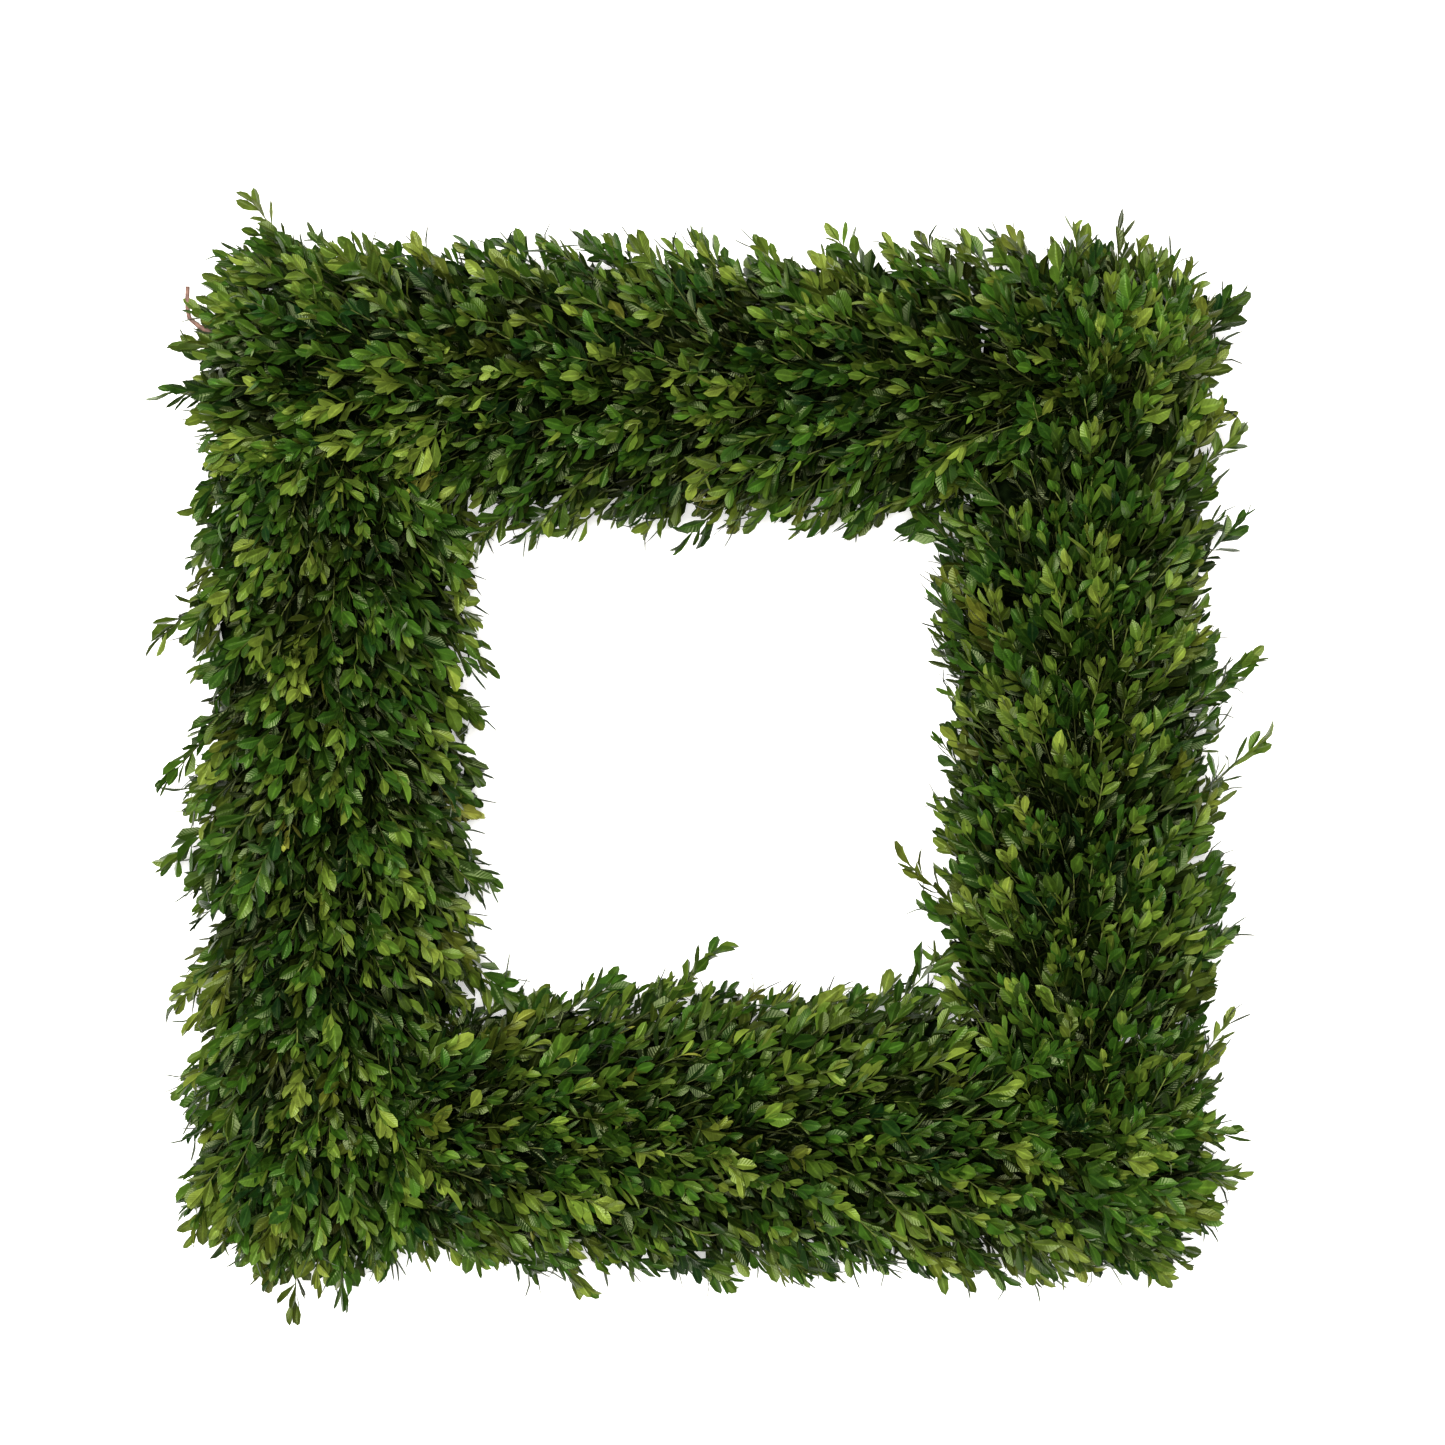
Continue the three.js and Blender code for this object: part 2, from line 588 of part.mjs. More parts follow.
// The origin lies in the middle of the wreath's footprint, on the surface that it rests on.
const box = new THREE.Box3().setFromObject(wreath, true);
const middle = box.getCenter(new THREE.Vector3()).setZ(box.min.z);
wreath.children.forEach((child) => child.position.sub(middle));

export default wreath;
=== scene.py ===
"""A square wreath of preserved boxwood lying on a pale floor, seen from straight above.

Four bars of leafy bunches lie pinwheel fashion on a welded wire frame, their tips all pointing
anticlockwise. Lengths are in millimetres until a mesh is made, where MM turns them into metres.
"""

import math

import bpy
import numpy as np
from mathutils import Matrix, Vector, noise


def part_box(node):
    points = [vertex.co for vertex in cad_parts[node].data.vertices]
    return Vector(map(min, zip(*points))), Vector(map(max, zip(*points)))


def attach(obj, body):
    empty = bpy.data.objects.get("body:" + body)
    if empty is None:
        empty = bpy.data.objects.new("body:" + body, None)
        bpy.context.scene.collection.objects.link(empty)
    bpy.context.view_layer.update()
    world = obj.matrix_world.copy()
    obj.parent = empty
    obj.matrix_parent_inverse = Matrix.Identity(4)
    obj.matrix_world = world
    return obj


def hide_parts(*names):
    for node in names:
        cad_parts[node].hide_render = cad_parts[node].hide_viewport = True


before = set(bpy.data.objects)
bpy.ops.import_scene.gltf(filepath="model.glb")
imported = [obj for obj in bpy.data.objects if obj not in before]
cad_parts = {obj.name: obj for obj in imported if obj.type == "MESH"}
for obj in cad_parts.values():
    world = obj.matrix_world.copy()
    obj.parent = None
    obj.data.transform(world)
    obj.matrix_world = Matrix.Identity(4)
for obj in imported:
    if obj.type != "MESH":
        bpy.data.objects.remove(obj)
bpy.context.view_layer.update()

MM = 0.001
BARS = ("bottom", "right", "top", "left")

# The wreath's body, as in the CAD model.
BODY = 505.0
BAR = 135.0
FACE_HEIGHT = 88.0
BUNCHES = 6
CENTRE = (BODY - BAR) / 2  # from the wreath's middle to the middle line of a bar
START = -(BODY / 2 - BAR)  # where a bar begins, along its own length
WIRE = 3.2
RAIL_SPACING = 30.0
RAIL_CORNER = 12.0
WELD_DEPTH = 0.6
BRACE_OVERHANG = 3.0
BINDING = 1.0
CLEARANCE = 0.3
TAIL = 13.0
STEM_HEIGHT = 5.0
RAIL_Z = WIRE / 2 + WIRE - WELD_DEPTH
BED = RAIL_Z + WIRE / 2 + CLEARANCE
STRAIGHT_END = CENTRE - RAIL_SPACING / 2 - RAIL_CORNER - START
FIRST = -18.0
PITCH = (STRAIGHT_END - TAIL - FIRST) / (BUNCHES - 1)
AXIS_HEIGHT = 25.0
REACH_SIDE = BAR / 2
REACH_FACE = FACE_HEIGHT - AXIS_HEIGHT

# The lead sprigs, which stand where the CAD model has its own.
SPRIGS = 4
CORNER_SPRIGS = 5
STRAY = 32.0
STRAY_UPWARD = 0.3  # of it, for a sprig that stands straight up
STRAY_KEPT = 0.75  # of it, with the finer leaves
LONG_STRAY = 9.0  # beyond this a sprig has two pairs of leaves in the CAD model
FAN = (-84, 84)
FAN_BEFORE_CORNER = (-86, 30)
FAN_IN_CORNER = (-86, 40)
FAN_SHIFT = 16
ROOT_DEPTH = 14
ROOT_AHEAD = (24, 8)  # least and spread, from the bunch's rear end to a sprig's root
RAISED_TIP = 72  # from the rear end to the tip of a raised sprig
FLAT_TIP = 86  # and of one that lies flatter
TIP_SPREAD = 8
END_TIP = 78  # the same at the end of a bar, for those that stand up
CLOSING_TIP = 112  # and for those that close it
CLOSING_HEIGHT = 0.35  # of the way out to the surface, that these end at
BOW = (3, 5)  # least and spread
SPRIG_SEED = 61
SEED_STEP, DRAW_STEP, DRAW_SHIFT, DRAWS = 2654435761, 1664525, 1013904223, 2**32
BARE_TWIG = ((328, -10, 34), (356, -22, 39), (374, -32, 41), (373, -48, 43))

# The sprigs that fill the bars between them.
ALONG_STEP = 11.4  # from one row of tips to the next
ROUND_STEP = 11.8  # between the tips of one row, over the leafy surface
ROUND_SHIFT = 0.4  # of that step, that a tip may lie to either side
MEAN_REACH = 65.0  # of the surface, to turn that step into an angle
LOWEST = 102  # degrees from straight up that the leafy surface reaches down each side
LOWEST_TIP = 3  # over the height that the bunches lie at
LOWEST_ROOT = 6
SPRIG_LENGTH = (50, 64)  # leafy part of a sprig and what its neighbours hide of it
LEAN = (0.50, 0.78)  # how steeply a sprig leaves the bar's surface
ROOT_TURN = (0.70, 0.42)  # of its tip's angle, that a root lies at, and the spread in radians
FILLER_BOW = (-6, 3)
TIP_LEAF = 6.5  # how far its last leaves reach beyond a sprig
EVEN_DEPTH = 0.98  # how far out most sprigs end, as a share of the way to the surface
EVEN_SPREAD = (0.06, 0.08)  # its spread straight up, and what the sides add to it
DEEP_SHARE = 0.24  # of the sprigs end below the surface
DEEP_DEPTHS = (0.74, 0.90)
STRAY_SHARE = 0.13  # of those at the sides stand out of it
STRAY_DEPTHS = (1.05, 1.17)
END = BODY / 2 - START  # outer edge of the wreath, in a bar's own length
NOSE = 50.0  # length of the rounded end of a bar
NOSE_TIPS = 150
NOSE_RISES = (-0.15, 0.98)  # sines of how steeply they stand
NOSE_DEPTHS = (0.82, 1.06)
NOSE_STRAYS = 0.14
NOSE_STRAY_DEPTHS = (1.08, 1.20)
NOSE_CORNER = 3  # 2 would round it as a circle, and more squares its corner
NOSE_ROOT = 62  # from the rounded end back to where its sprigs come from
NOSE_ROOT_ACROSS = 0.35  # of a tip's own place across the bar
NOSE_ROOT_UP = 0.2  # of its height over the bar's middle line
NOSE_FACING = (0.15, 0.35)  # how much its leaves face forwards and up
NOSE_BOW = (-4, 3)
# Where each bar's first tips lie. Two bars begin on top of the end of the bar behind them.
FIRST_TIPS = {"bottom": -8.0, "right": -60.0, "top": -66.0, "left": -16.0}
REAR_WIDTH = 62.0  # how far towards the hole a bar reaches where it begins
REAR_TAPER = 0.5
OVERLAP = (4, 20)  # how far a bar's last tips stand into the next bar

# The sprigs close to the floor, under the dark inside.
LOW_HEIGHT = 4.5
LOW_LENGTH = (42, 48)
LOW_ROOT = (19, 26)  # from the bar's middle line
LOW_TIP = (53, 62)
LOW_AHEAD = 50  # from where a bunch begins to where its low tips begin
LOW_PLACES = (0.25, 0.75)  # and on to each, in shares of the step to the next bunch
LOW_FAN = 0.45  # of its tip's place across the bar, that a root has in the fan
LOW_YAWS = (-62, -38, -14, 10, 34)  # degrees, of the ones that fan out at a bar's end
LOW_REACH = 0.93  # of the rounded end, that these fill

# The leaf outlines, each for the pairs up to the one named, from a sprig's tip. Each ring is a share of the
# leaf's length, and its half width as a share of the widest.
LEAF_OUTLINES = (
    (2, ((0.12, 0.22), (0.36, 0.73), (0.62, 1.0), (0.88, 0.66))),
    (4, ((0.16, 0.28), (0.53, 1.0), (0.84, 0.72))),
    (8, ((0.30, 0.62), (0.72, 0.96))),
)
LEAF_LENGTH = 13.8
LEAF_WIDTH = (0.36, 0.46)  # of its length
LEAF_FOLD = (0.50, 0.22)  # how steeply its halves rise from the midrib, and the spread
LEAF_ARCH = (0.2, 0.5)  # radians from its base to its tip, and the spread
LEAST_ARCH = 0.02  # an arch is never 0, because lengths are divided by it
LEAF_THICKNESS = 0.3
LEAF_PLACES = np.array([0.8, 4.5, 8.9, 13.6, 18.8, 24.4, 30.5, 36.8])  # of each pair, from a sprig's tip down
LEAF_SIZES = np.array([0.74, 0.88, 1.0, 1.04, 1.02, 0.98, 0.96, 0.95])
LEAF_SPREADS = np.radians([10, 19, 25, 29, 32, 35, 37, 39])
LEAF_UNEVEN = np.array([0.24, 0.12, 0.08, 0.08, 0.08, 0.08, 0.08, 0.08])  # how much their lengths vary
LEAF_RANGE = (0.84, 1.14)  # and how much the sizes of whole sprigs
PLACE_RANGE = (0.85, 1.15)  # how much the pairs' places on a sprig are stretched
PLACE_SHIFT = 0.5
LOWEST_PAIR = 0.05  # share of a sprig's length from its root, below which no pair sits
SPRIG_TURN = 0.5  # radians, the spread of a sprig's turn about its own stem
PAIR_TURN = (0.7, 0.25)  # that each pair is turned, to alternate sides, and the spread
SPREAD_UNEVEN = 0.13
LEAF_RISE = (0.12, 0.16)  # radians that a leaf stands up from its pair's plane, and the spread
LEAF_ROLL = 0.55  # spread of how far it is rolled about its midrib
PAIRS = 6  # on a filling sprig, and a lead sprig has them all
NARROW_SHARE = 0.30  # of the leaves are curled up, narrow and dark
NARROW = 0.36  # of its width, that such a leaf has
NARROW_ARCH = 0.7  # spread of its arch
NARROW_SHADE = 0.55  # of its colour, that it keeps
CURLED = 8  # sprigs of each bunch that end in two thin leaves, seen edge on
CURL_SIDES = (0.91, 1.20)  # how far out those sprigs end, as a share of half a bar's width
CURL_ENDS = (16, -12)  # and how far before a bar's end
CURL_TURN = (0.10, 0.70)  # radians between a curled leaf and its sprig
CURL_RISE = 0.3  # of its sprig's rise, that a curled leaf has
CURL_COLOUR = np.array([0.012, 0.020, 0.010])
CURL_SHADES = (0.4, 1.4)
CURL_OUTLINE = 1  # which of the leaf outlines it has
CURL_LENGTH = (1.0, 1.35)  # against the other leaves
LEAD_SIZE = 1.06  # of a lead sprig's leaves against the others'
LOWEST_LEAF = 0.4  # least height of a leaf's corners over the floor
END_POINT = 4  # marks a leaf's two end points, and 0 to 3 mark the corners of its rings
NO_LEAF = 9  # marks the corners of anything else

# Linear colours of leaves, from the oldest to the youngest, and of a faded one.
DEEP = np.array([0.0035, 0.020, 0.0042])
MID = np.array([0.0205, 0.0600, 0.0044])
BRIGHT = np.array([0.108, 0.145, 0.019])
OLIVE = np.array([0.082, 0.090, 0.010])
FADED = np.array([0.200, 0.215, 0.030])
PATCH_SIZES = (48, 22)  # of paler and darker patches of sprigs
PATCH_SHIFT = 9  # between the patterns of large and small ones
TONE = 0.48  # from 0 for the oldest colour to 1 for the youngest
TONE_PATCH = 0.25  # how much it changes from patch to patch,
TONE_SPRIG = 0.17  # from sprig to sprig,
TONE_LEAF = 0.14  # from leaf to leaf,
TONE_YOUNG = 0.32  # from a sprig's lowest leaves to its tip
TONE_INNER = 0.25  # and from the surface to the inside, partly the inner leaves' own older colour, partly painted shade
YOUNG_MIDDLE = 0.55  # where along a sprig the tone is its mean
WARM = (-0.35, 0.4)  # mean and spread of how olive a sprig is, where under 0 is none
OLIVE_TONE = (0.25, 0.9)  # shade of the olive for tone 0, and what tone 1 adds
FADED_LEAVES, FADED_SPRIGS = 0.002, 0.001  # shares
FADED_SHADES = (0.6, 1)
OLD_SHADE = 0.50  # of its colour, that a sprig's lowest leaf keeps: partly the older leaf's own darker colour, partly painted shade from the leaves over it
SHADE_UNEVEN = 0.14
INNER, OUTER = 0.71, 1.0  # shares of the way out, between which the painted shade on leaves fades out
INNER_SHADE = 0.10  # of its colour, that an inner leaf keeps under the painted shade
FLOOR_LIT = 0.25  # painted shade: the share of its colour that a leaf on the floor keeps
FLOOR_DIM = 24.0  # the height over which it grows by a whole share
RIM_SHADE = 0.26  # painted shade, taken off leaves at the outline and the hole, against the light the white floor throws on them
RIM_WARM = 0.20  # how much more olive they are
RIM_FROM = 0.55  # share of the way out where the rim begins
YOUNG_STEM = np.array([0.080, 0.102, 0.020])
OLD_STEM = np.array([0.016, 0.020, 0.006])
STEM_SHADES = (0.6, 1.25)
STEM_RADII = (0.70, 0.33)  # at a sprig's root and at its tip
STEM_YOUNG = 3  # how late a stem's colour turns young towards its tip
STEM_RINGS, STEM_SIDES = 5, 3

# The near-black inside of a bunch, painted shade that shows between the leaves.
HEART_RINGS, HEART_SIDES = 11, 18
HEART_HALF = 53  # half its width
HEART_HEIGHT = 47
HEART_FLANK = 17  # height at which it is widest
HEART_FLAT = 0.4  # least height over its bed
HEART_ARC = 110  # degrees from straight up to where its underside begins
HEART_OVERLAP = 6  # how far it runs into the next one
HEART_END = 28  # how much longer the last one of a bar is
HEART_NARROWS = 0.5  # share of the last one's length from which it gets smaller
HEART_START = (0.7, 0.5)  # size of a bar's first one at its start, and how fast it grows
HEART_TALL = 0.6  # of its height, that a small one would keep
HEART_ROUGH = 0.26
LUMPS_ALONG = 7
LUMP_ARC = 21  # degrees
LUMP_SHIFT = 9  # along a bar, that shifts the lumps' pattern by one

# The cut stems behind each bunch.
TAILS = 11
TAIL_RADII = (1.1, 1.7)
TAIL_SIDE = 13.5  # from the middle one to the last one
TAIL_SHIFT = 0.6
TAIL_LAYER = (1.2, 1.8)  # how much higher every second one lies
TAIL_RUNS = (34, 58)  # how far they run on under the leaves
TAIL_ENDS = (1.5, 4.5)  # where they are cut, from the bunch's rear end
# At the four points of a stem: how far they lie apart, how much higher they are, and how thick it is.
TAIL_SPREADS = (0.96, 1, 1.35, 2.0)
TAIL_RISES = (0, 0, 1.2, 6)
TAIL_TAPER = (1, 1, 0.8, 0.6)
TWIG_RADII = (1.3, 1.15)  # of the bare twig
TWIG_STEPS = 3  # from one of its points to the next
ROUND_SIDES = 8  # of stems, the twig and the binding wire

# The wires.
RAIL_SIDES = 12
CORNER_POINTS = 9  # in each rounded corner of a rail
BRACE_ROUND = 0.96  # of a brace's half length, from where its ends are rounded
BRACE_TAPER = 0.8
TURN_PLACES = (-2.5, -1, -0.5, 0, 0.5, 1, 1.5, 3)  # along the bar, of the points of one turn
UNDER_RAIL = 3  # how far inside a rail's middle line it goes under the rail
BRACE_SPARE = 0.2  # over the braces, besides the clearance
BINDING_CORNER = 0.15  # of each run, cut off at its corners

# The leaf shader. Places are shares of a leaf's half width and of its length.
RIB_EDGE = (0.05, 0.25)
RIB_END = (0.7, 1.0)
RIB_LEFT = 0.2  # of the midrib at the leaf's tip
MARGIN_EDGE = (0.80, 0.98)
VEIN_EDGE = (0.6, 1.0)
VEIN_WAVE = (62, 11)  # radians along the leaf and across it
VEIN_PALE, RIB_PALE, MARGIN_PALE, UNDER_PALE = 0.10, 0.85, 0.6, 0.4
PALE = (0.090, 0.110, 0.016)
PALE_SHARE, PALE_GAIN = 0.05, 1.7
MOTTLE = 180  # scale
MOTTLE_SHADES = (0.78, 1.24)
LEAF_ROUGHNESS = (0.26, 0.40)
LEAF_GLOSS = 0.28
GLOSS_TINT = (0.78, 0.92, 0.45)

# The camera.
SENSOR = 36
FRAME_WIDTH = 711.7
FRAME_CENTRE = (8.1, 18.0, 0.0)
OUTLINE_HEIGHT = 45.0
CAMERA_AWAY = 2700.0

# The lights.
SURROUND = 0.32
SURROUND_COLOUR = (1.0, 0.98, 0.90)
KEY = 7.55
KEY_COLOUR = (1.0, 0.985, 0.94)
KEY_SPREAD = 38
KEY_FROM = (-0.10, 0.12, 1.0)
FLOOR_GLOW = 0.35  # painted light: the floor glows, which lightens the shadows on it
FLOOR_HALF = 30000

LEAF, STEM, HEART, BARK, TWIG = range(5)  # the materials of a bunch

UP = np.array([0.0, 0.0, 1.0])
RNG = np.random.default_rng(20)
low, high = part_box("wire_frame")
MIDDLE = np.array([(low[0] + high[0]) / 2, (low[1] + high[1]) / 2, 0.0]) / MM


def unit(v):
    return v / np.linalg.norm(v, axis=-1, keepdims=True)


def rotated(x, y, turn):
    """A place seen from above, turned round the wreath's middle."""
    return x * math.cos(turn) - y * math.sin(turn), x * math.sin(turn) + y * math.cos(turn)


def to_world(points, bar):
    """Points in a bar's own frame, along it, across it towards the hole and up, in the wreath's."""
    east, north = rotated(points[..., 0] + START, points[..., 1] - CENTRE, bar * math.pi / 2)
    return np.stack([east, north, points[..., 2]], axis=-1) + MIDDLE


def seeded(seed):
    """The CAD model's own row of numbers from 0 to 1."""
    state = seed * SEED_STEP % DRAWS

    def draw():
        nonlocal state
        state = (state * DRAW_STEP + DRAW_SHIFT) % DRAWS
        return state / DRAWS

    return draw


def reach_at(angle):
    """How far out the leafy surface lies at an angle from straight up, round a bar's middle line."""
    return 1 / np.hypot(np.sin(angle) / REACH_SIDE, np.cos(angle) / REACH_FACE)


def lead_sprigs(bar, k):
    """The sprigs that the CAD model shows: root, control point, tip and outward direction."""
    draw = seeded(SPRIG_SEED + bar * BUNCHES + k)
    s = FIRST + k * PITCH
    last = k == BUNCHES - 1
    count = CORNER_SPRIGS if last else SPRIGS - k % 2
    start, end = {BUNCHES - 1: FAN_IN_CORNER, BUNCHES - 2: FAN_BEFORE_CORNER}.get(k, FAN)
    made = []
    for i in range(count):
        flat = (i if last else i + k) % 2 == 1
        angle = math.radians(start + (end - start) * i / (count - 1) + FAN_SHIFT * (draw() - 0.5))
        stray = STRAY * draw() ** 2 * (STRAY_UPWARD + (1 - STRAY_UPWARD) * abs(math.sin(angle)))
        pairs = 2 if stray > LONG_STRAY or (last and flat) else 1
        stray *= STRAY_KEPT
        ahead = (FLAT_TIP if flat else RAISED_TIP) + TIP_SPREAD * (draw() - 0.5)
        out = reach_at(angle)
        if last:
            ahead = CLOSING_TIP + stray if flat else END_TIP
            out *= CLOSING_HEIGHT if flat else 1
        radial = np.array([0, math.sin(angle), math.cos(angle)])
        root = np.array([s + ROOT_AHEAD[0] + ROOT_AHEAD[1] * draw(), 0, AXIS_HEIGHT]) + ROOT_DEPTH * radial
        tip = np.array([s + ahead, 0, AXIS_HEIGHT]) + (out if last and flat else out + stray) * radial
        forward = unit(tip - root)
        outward = unit(radial - radial.dot(forward) * forward)
        bow = BOW[0] + BOW[1] * draw()
        for _ in range(1 + 2 * pairs):
            draw()  # the CAD model's own turns of the sprig and its leaves
        made.append((root, (root + tip) / 2 + bow * outward, tip, outward))
    return made


def in_next_bar(bar, s, across, shift):
    """Whether a place near a bar's end lies where the next bar has already begun on top of it."""
    along_next = across - BAR / 2
    across_next = CENTRE - START - s
    first = FIRST_TIPS[BARS[(bar + 1) % 4]]
    return along_next > first + shift and across_next < REAR_WIDTH - shift + REAR_TAPER * min(along_next, 0)


def squared(yaw):
    """How far out a bar's rounded end lies in a direction, against a circle."""
    return (math.cos(yaw) ** NOSE_CORNER + abs(math.sin(yaw)) ** NOSE_CORNER) ** (-1 / NOSE_CORNER)


def filling_sprigs(bar):
    """The sprigs between, with their tips in staggered rows over the leafy surface."""
    made = []
    arc = math.degrees(ROUND_STEP / MEAN_REACH)
    for s in np.arange(FIRST_TIPS[BARS[bar]], END - NOSE, ALONG_STEP):
        for degrees in np.arange(-LOWEST, LOWEST, arc) + RNG.uniform(0, arc):
            angle = math.radians(degrees + RNG.uniform(-ROUND_SHIFT, ROUND_SHIFT) * arc)
            sideways = abs(math.sin(angle))
            if RNG.random() < DEEP_SHARE:
                depth = RNG.uniform(*DEEP_DEPTHS)
            elif RNG.random() < STRAY_SHARE * sideways:
                depth = RNG.uniform(*STRAY_DEPTHS)
            else:
                depth = EVEN_DEPTH + RNG.uniform(-1, 1) * (EVEN_SPREAD[0] + EVEN_SPREAD[1] * sideways**3)
            across = math.sin(angle) * reach_at(angle) * depth
            tip_s = s + RNG.uniform(-0.5, 0.5) * ALONG_STEP
            if in_next_bar(bar, tip_s, across, RNG.uniform(*OVERLAP)):
                continue
            if tip_s < 0 and across > REAR_WIDTH + REAR_TAPER * tip_s:
                continue
            made.append(filler(tip_s, angle, reach_at(angle) * depth - TIP_LEAF))
    return made


def closing_sprigs(bar):
    """The fan of sprigs that closes a bar's end."""
    made = []
    for _ in range(NOSE_TIPS):
        yaw = math.radians(RNG.uniform(-90, 90))
        rise = math.asin(RNG.uniform(*NOSE_RISES))
        depth = RNG.uniform(*(NOSE_STRAY_DEPTHS if RNG.random() < NOSE_STRAYS else NOSE_DEPTHS))
        outline = squared(yaw) * depth * math.cos(rise)
        tip = np.array([
            END - NOSE + NOSE * math.cos(yaw) * outline,
            REACH_SIDE * math.sin(yaw) * outline,
            max(AXIS_HEIGHT + REACH_FACE * math.sin(rise) * depth, BED + LOWEST_TIP),
        ])
        if in_next_bar(bar, tip[0], tip[1], RNG.uniform(*OVERLAP)):
            continue
        height = AXIS_HEIGHT + NOSE_ROOT_UP * (tip[2] - AXIS_HEIGHT)
        back = unit(np.array([END - NOSE - NOSE_ROOT, NOSE_ROOT_ACROSS * tip[1], height]) - tip)
        tip += back * TIP_LEAF
        root = tip + back * RNG.uniform(*SPRIG_LENGTH)
        outward = np.array([NOSE_FACING[0], math.sin(yaw) * math.cos(rise), math.sin(rise) + NOSE_FACING[1]])
        outward = unit(outward - outward.dot(back) * back)
        made.append((root, (root + tip) / 2 + outward * RNG.uniform(*NOSE_BOW), tip, outward))
    return made


def low_sprigs(bar, k):
    """Sprigs close to the floor at both sides of the rails, and in a fan at a bar's end."""
    made = []
    last = k == BUNCHES - 1
    for side in (-1,) if last else (-1, 1):
        for share in LOW_PLACES:
            s = FIRST + (k + share) * PITCH + LOW_AHEAD
            tip = np.array([s, side * RNG.uniform(*LOW_TIP), LOW_HEIGHT])
            root = np.array([s - RNG.uniform(*LOW_LENGTH), side * RNG.uniform(*LOW_ROOT), LOW_HEIGHT])
            made.append((root, tip))
    for yaw in np.radians(LOW_YAWS) if last else ():
        s = END - NOSE + NOSE * math.cos(yaw) * squared(yaw) * LOW_REACH
        across = REACH_SIDE * math.sin(yaw) * squared(yaw) * LOW_REACH
        if not in_next_bar(bar, s, across, 0):
            root = np.array([s - RNG.uniform(*LOW_LENGTH), LOW_FAN * across, LOW_HEIGHT])
            made.append((root, np.array([s, across, LOW_HEIGHT])))
    return [(root, (root + tip) / 2, tip, UP) for root, tip in made]


def filler(tip_s, angle, reach):
    """One sprig, which starts near the bar's middle line and leans out to its tip."""
    length = RNG.uniform(*SPRIG_LENGTH)
    lean = RNG.uniform(*LEAN)
    radial = np.array([0, math.sin(angle), math.cos(angle)])
    tip = np.array([tip_s, 0, AXIS_HEIGHT]) + reach * radial
    tip[2] = max(tip[2], BED + LOWEST_TIP)
    inner = ROOT_TURN[0] * angle + RNG.normal(0, ROOT_TURN[1])
    root = np.array([tip_s - length * math.cos(lean), 0, AXIS_HEIGHT])
    root += (reach - length * math.sin(lean)) * np.array([0, math.sin(inner), math.cos(inner)])
    root[2] = max(root[2], BED + LOWEST_ROOT)
    forward = unit(tip - root)
    outward = unit(radial - radial.dot(forward) * forward)
    return root, (root + tip) / 2 + outward * RNG.uniform(*FILLER_BOW), tip, outward


def bezier(sprigs, t):
    """Points and unit tangents at shares t of each sprig: sprigs is (n, 4, 3), t is (n, m)."""
    a, b, c = (sprigs[:, i, None, :] for i in range(3))
    t = t[..., None]
    point = (1 - t) ** 2 * a + 2 * t * (1 - t) * b + t**2 * c
    tangent = unit(2 * (1 - t) * (b - a) + 2 * t * (c - b))
    return point, tangent


def turned(side, up, roll):
    """Two vectors at right angles, turned in their plane."""
    cos, sin = np.cos(roll)[..., None], np.sin(roll)[..., None]
    return side * cos + up * sin, up * cos - side * sin


def leaves_of(sprigs, pairs, larger):
    """Where the leaves sit: opposite pairs, each turned against the last, the smallest at the tip."""
    n = len(sprigs)
    spans = np.linalg.norm(sprigs[:, 2] - sprigs[:, 0], axis=-1)[:, None]
    distance = LEAF_PLACES[:pairs] * RNG.uniform(*PLACE_RANGE, n)[:, None]
    distance = distance + RNG.uniform(-PLACE_SHIFT, PLACE_SHIFT, (n, pairs))
    t = np.clip(1 - distance / spans, LOWEST_PAIR, 1)
    point, tangent = bezier(sprigs, t)
    outward = np.broadcast_to(sprigs[:, 3, None, :], tangent.shape)
    side = unit(np.cross(outward, tangent))
    up = np.cross(tangent, side)
    alternate = np.where(np.arange(pairs) % 2 == 1, PAIR_TURN[0], -PAIR_TURN[0])
    roll = RNG.normal(0, SPRIG_TURN, n)[:, None] + alternate + RNG.normal(0, PAIR_TURN[1], t.shape)
    side, up = turned(side, up, roll)
    size = larger * LEAF_LENGTH * RNG.uniform(*LEAF_RANGE, n)[:, None]
    made = []
    for way in (-1, 1):
        spread = LEAF_SPREADS[:pairs] + RNG.normal(0, SPREAD_UNEVEN, t.shape)
        axis, _ = turned(tangent, way * side, spread)
        axis = unit(turned(axis, up, RNG.normal(*LEAF_RISE, t.shape))[0])
        normal = unit(up - (up * axis).sum(-1, keepdims=True) * axis)
        across, normal = turned(np.cross(normal, axis), normal, RNG.normal(0, LEAF_ROLL, t.shape))
        length = size * LEAF_SIZES[:pairs] * RNG.normal(1, LEAF_UNEVEN[:pairs], t.shape)
        made.append((point, axis, across, normal, length, RNG.random(t.shape) < NARROW_SHARE))
    return [np.stack([m[i] for m in made], axis=2) for i in range(6)]


def painted_depth_light(places):
    """Painted shade: from 0 for a place deep inside a bar or low by the floor to 1 at its leafy surface."""
    up = places[..., 2] - AXIS_HEIGHT
    out = np.hypot(places[..., 1], up) / reach_at(np.arctan2(places[..., 1], up))
    ahead = np.maximum(places[..., 0] - (END - NOSE), 0) / NOSE
    share = np.clip((np.hypot(out, ahead) - INNER) / (OUTER - INNER), 0, 1)
    return share * share * (3 - 2 * share) * np.clip(FLOOR_LIT + places[..., 2] / FLOOR_DIM, 0, 1)


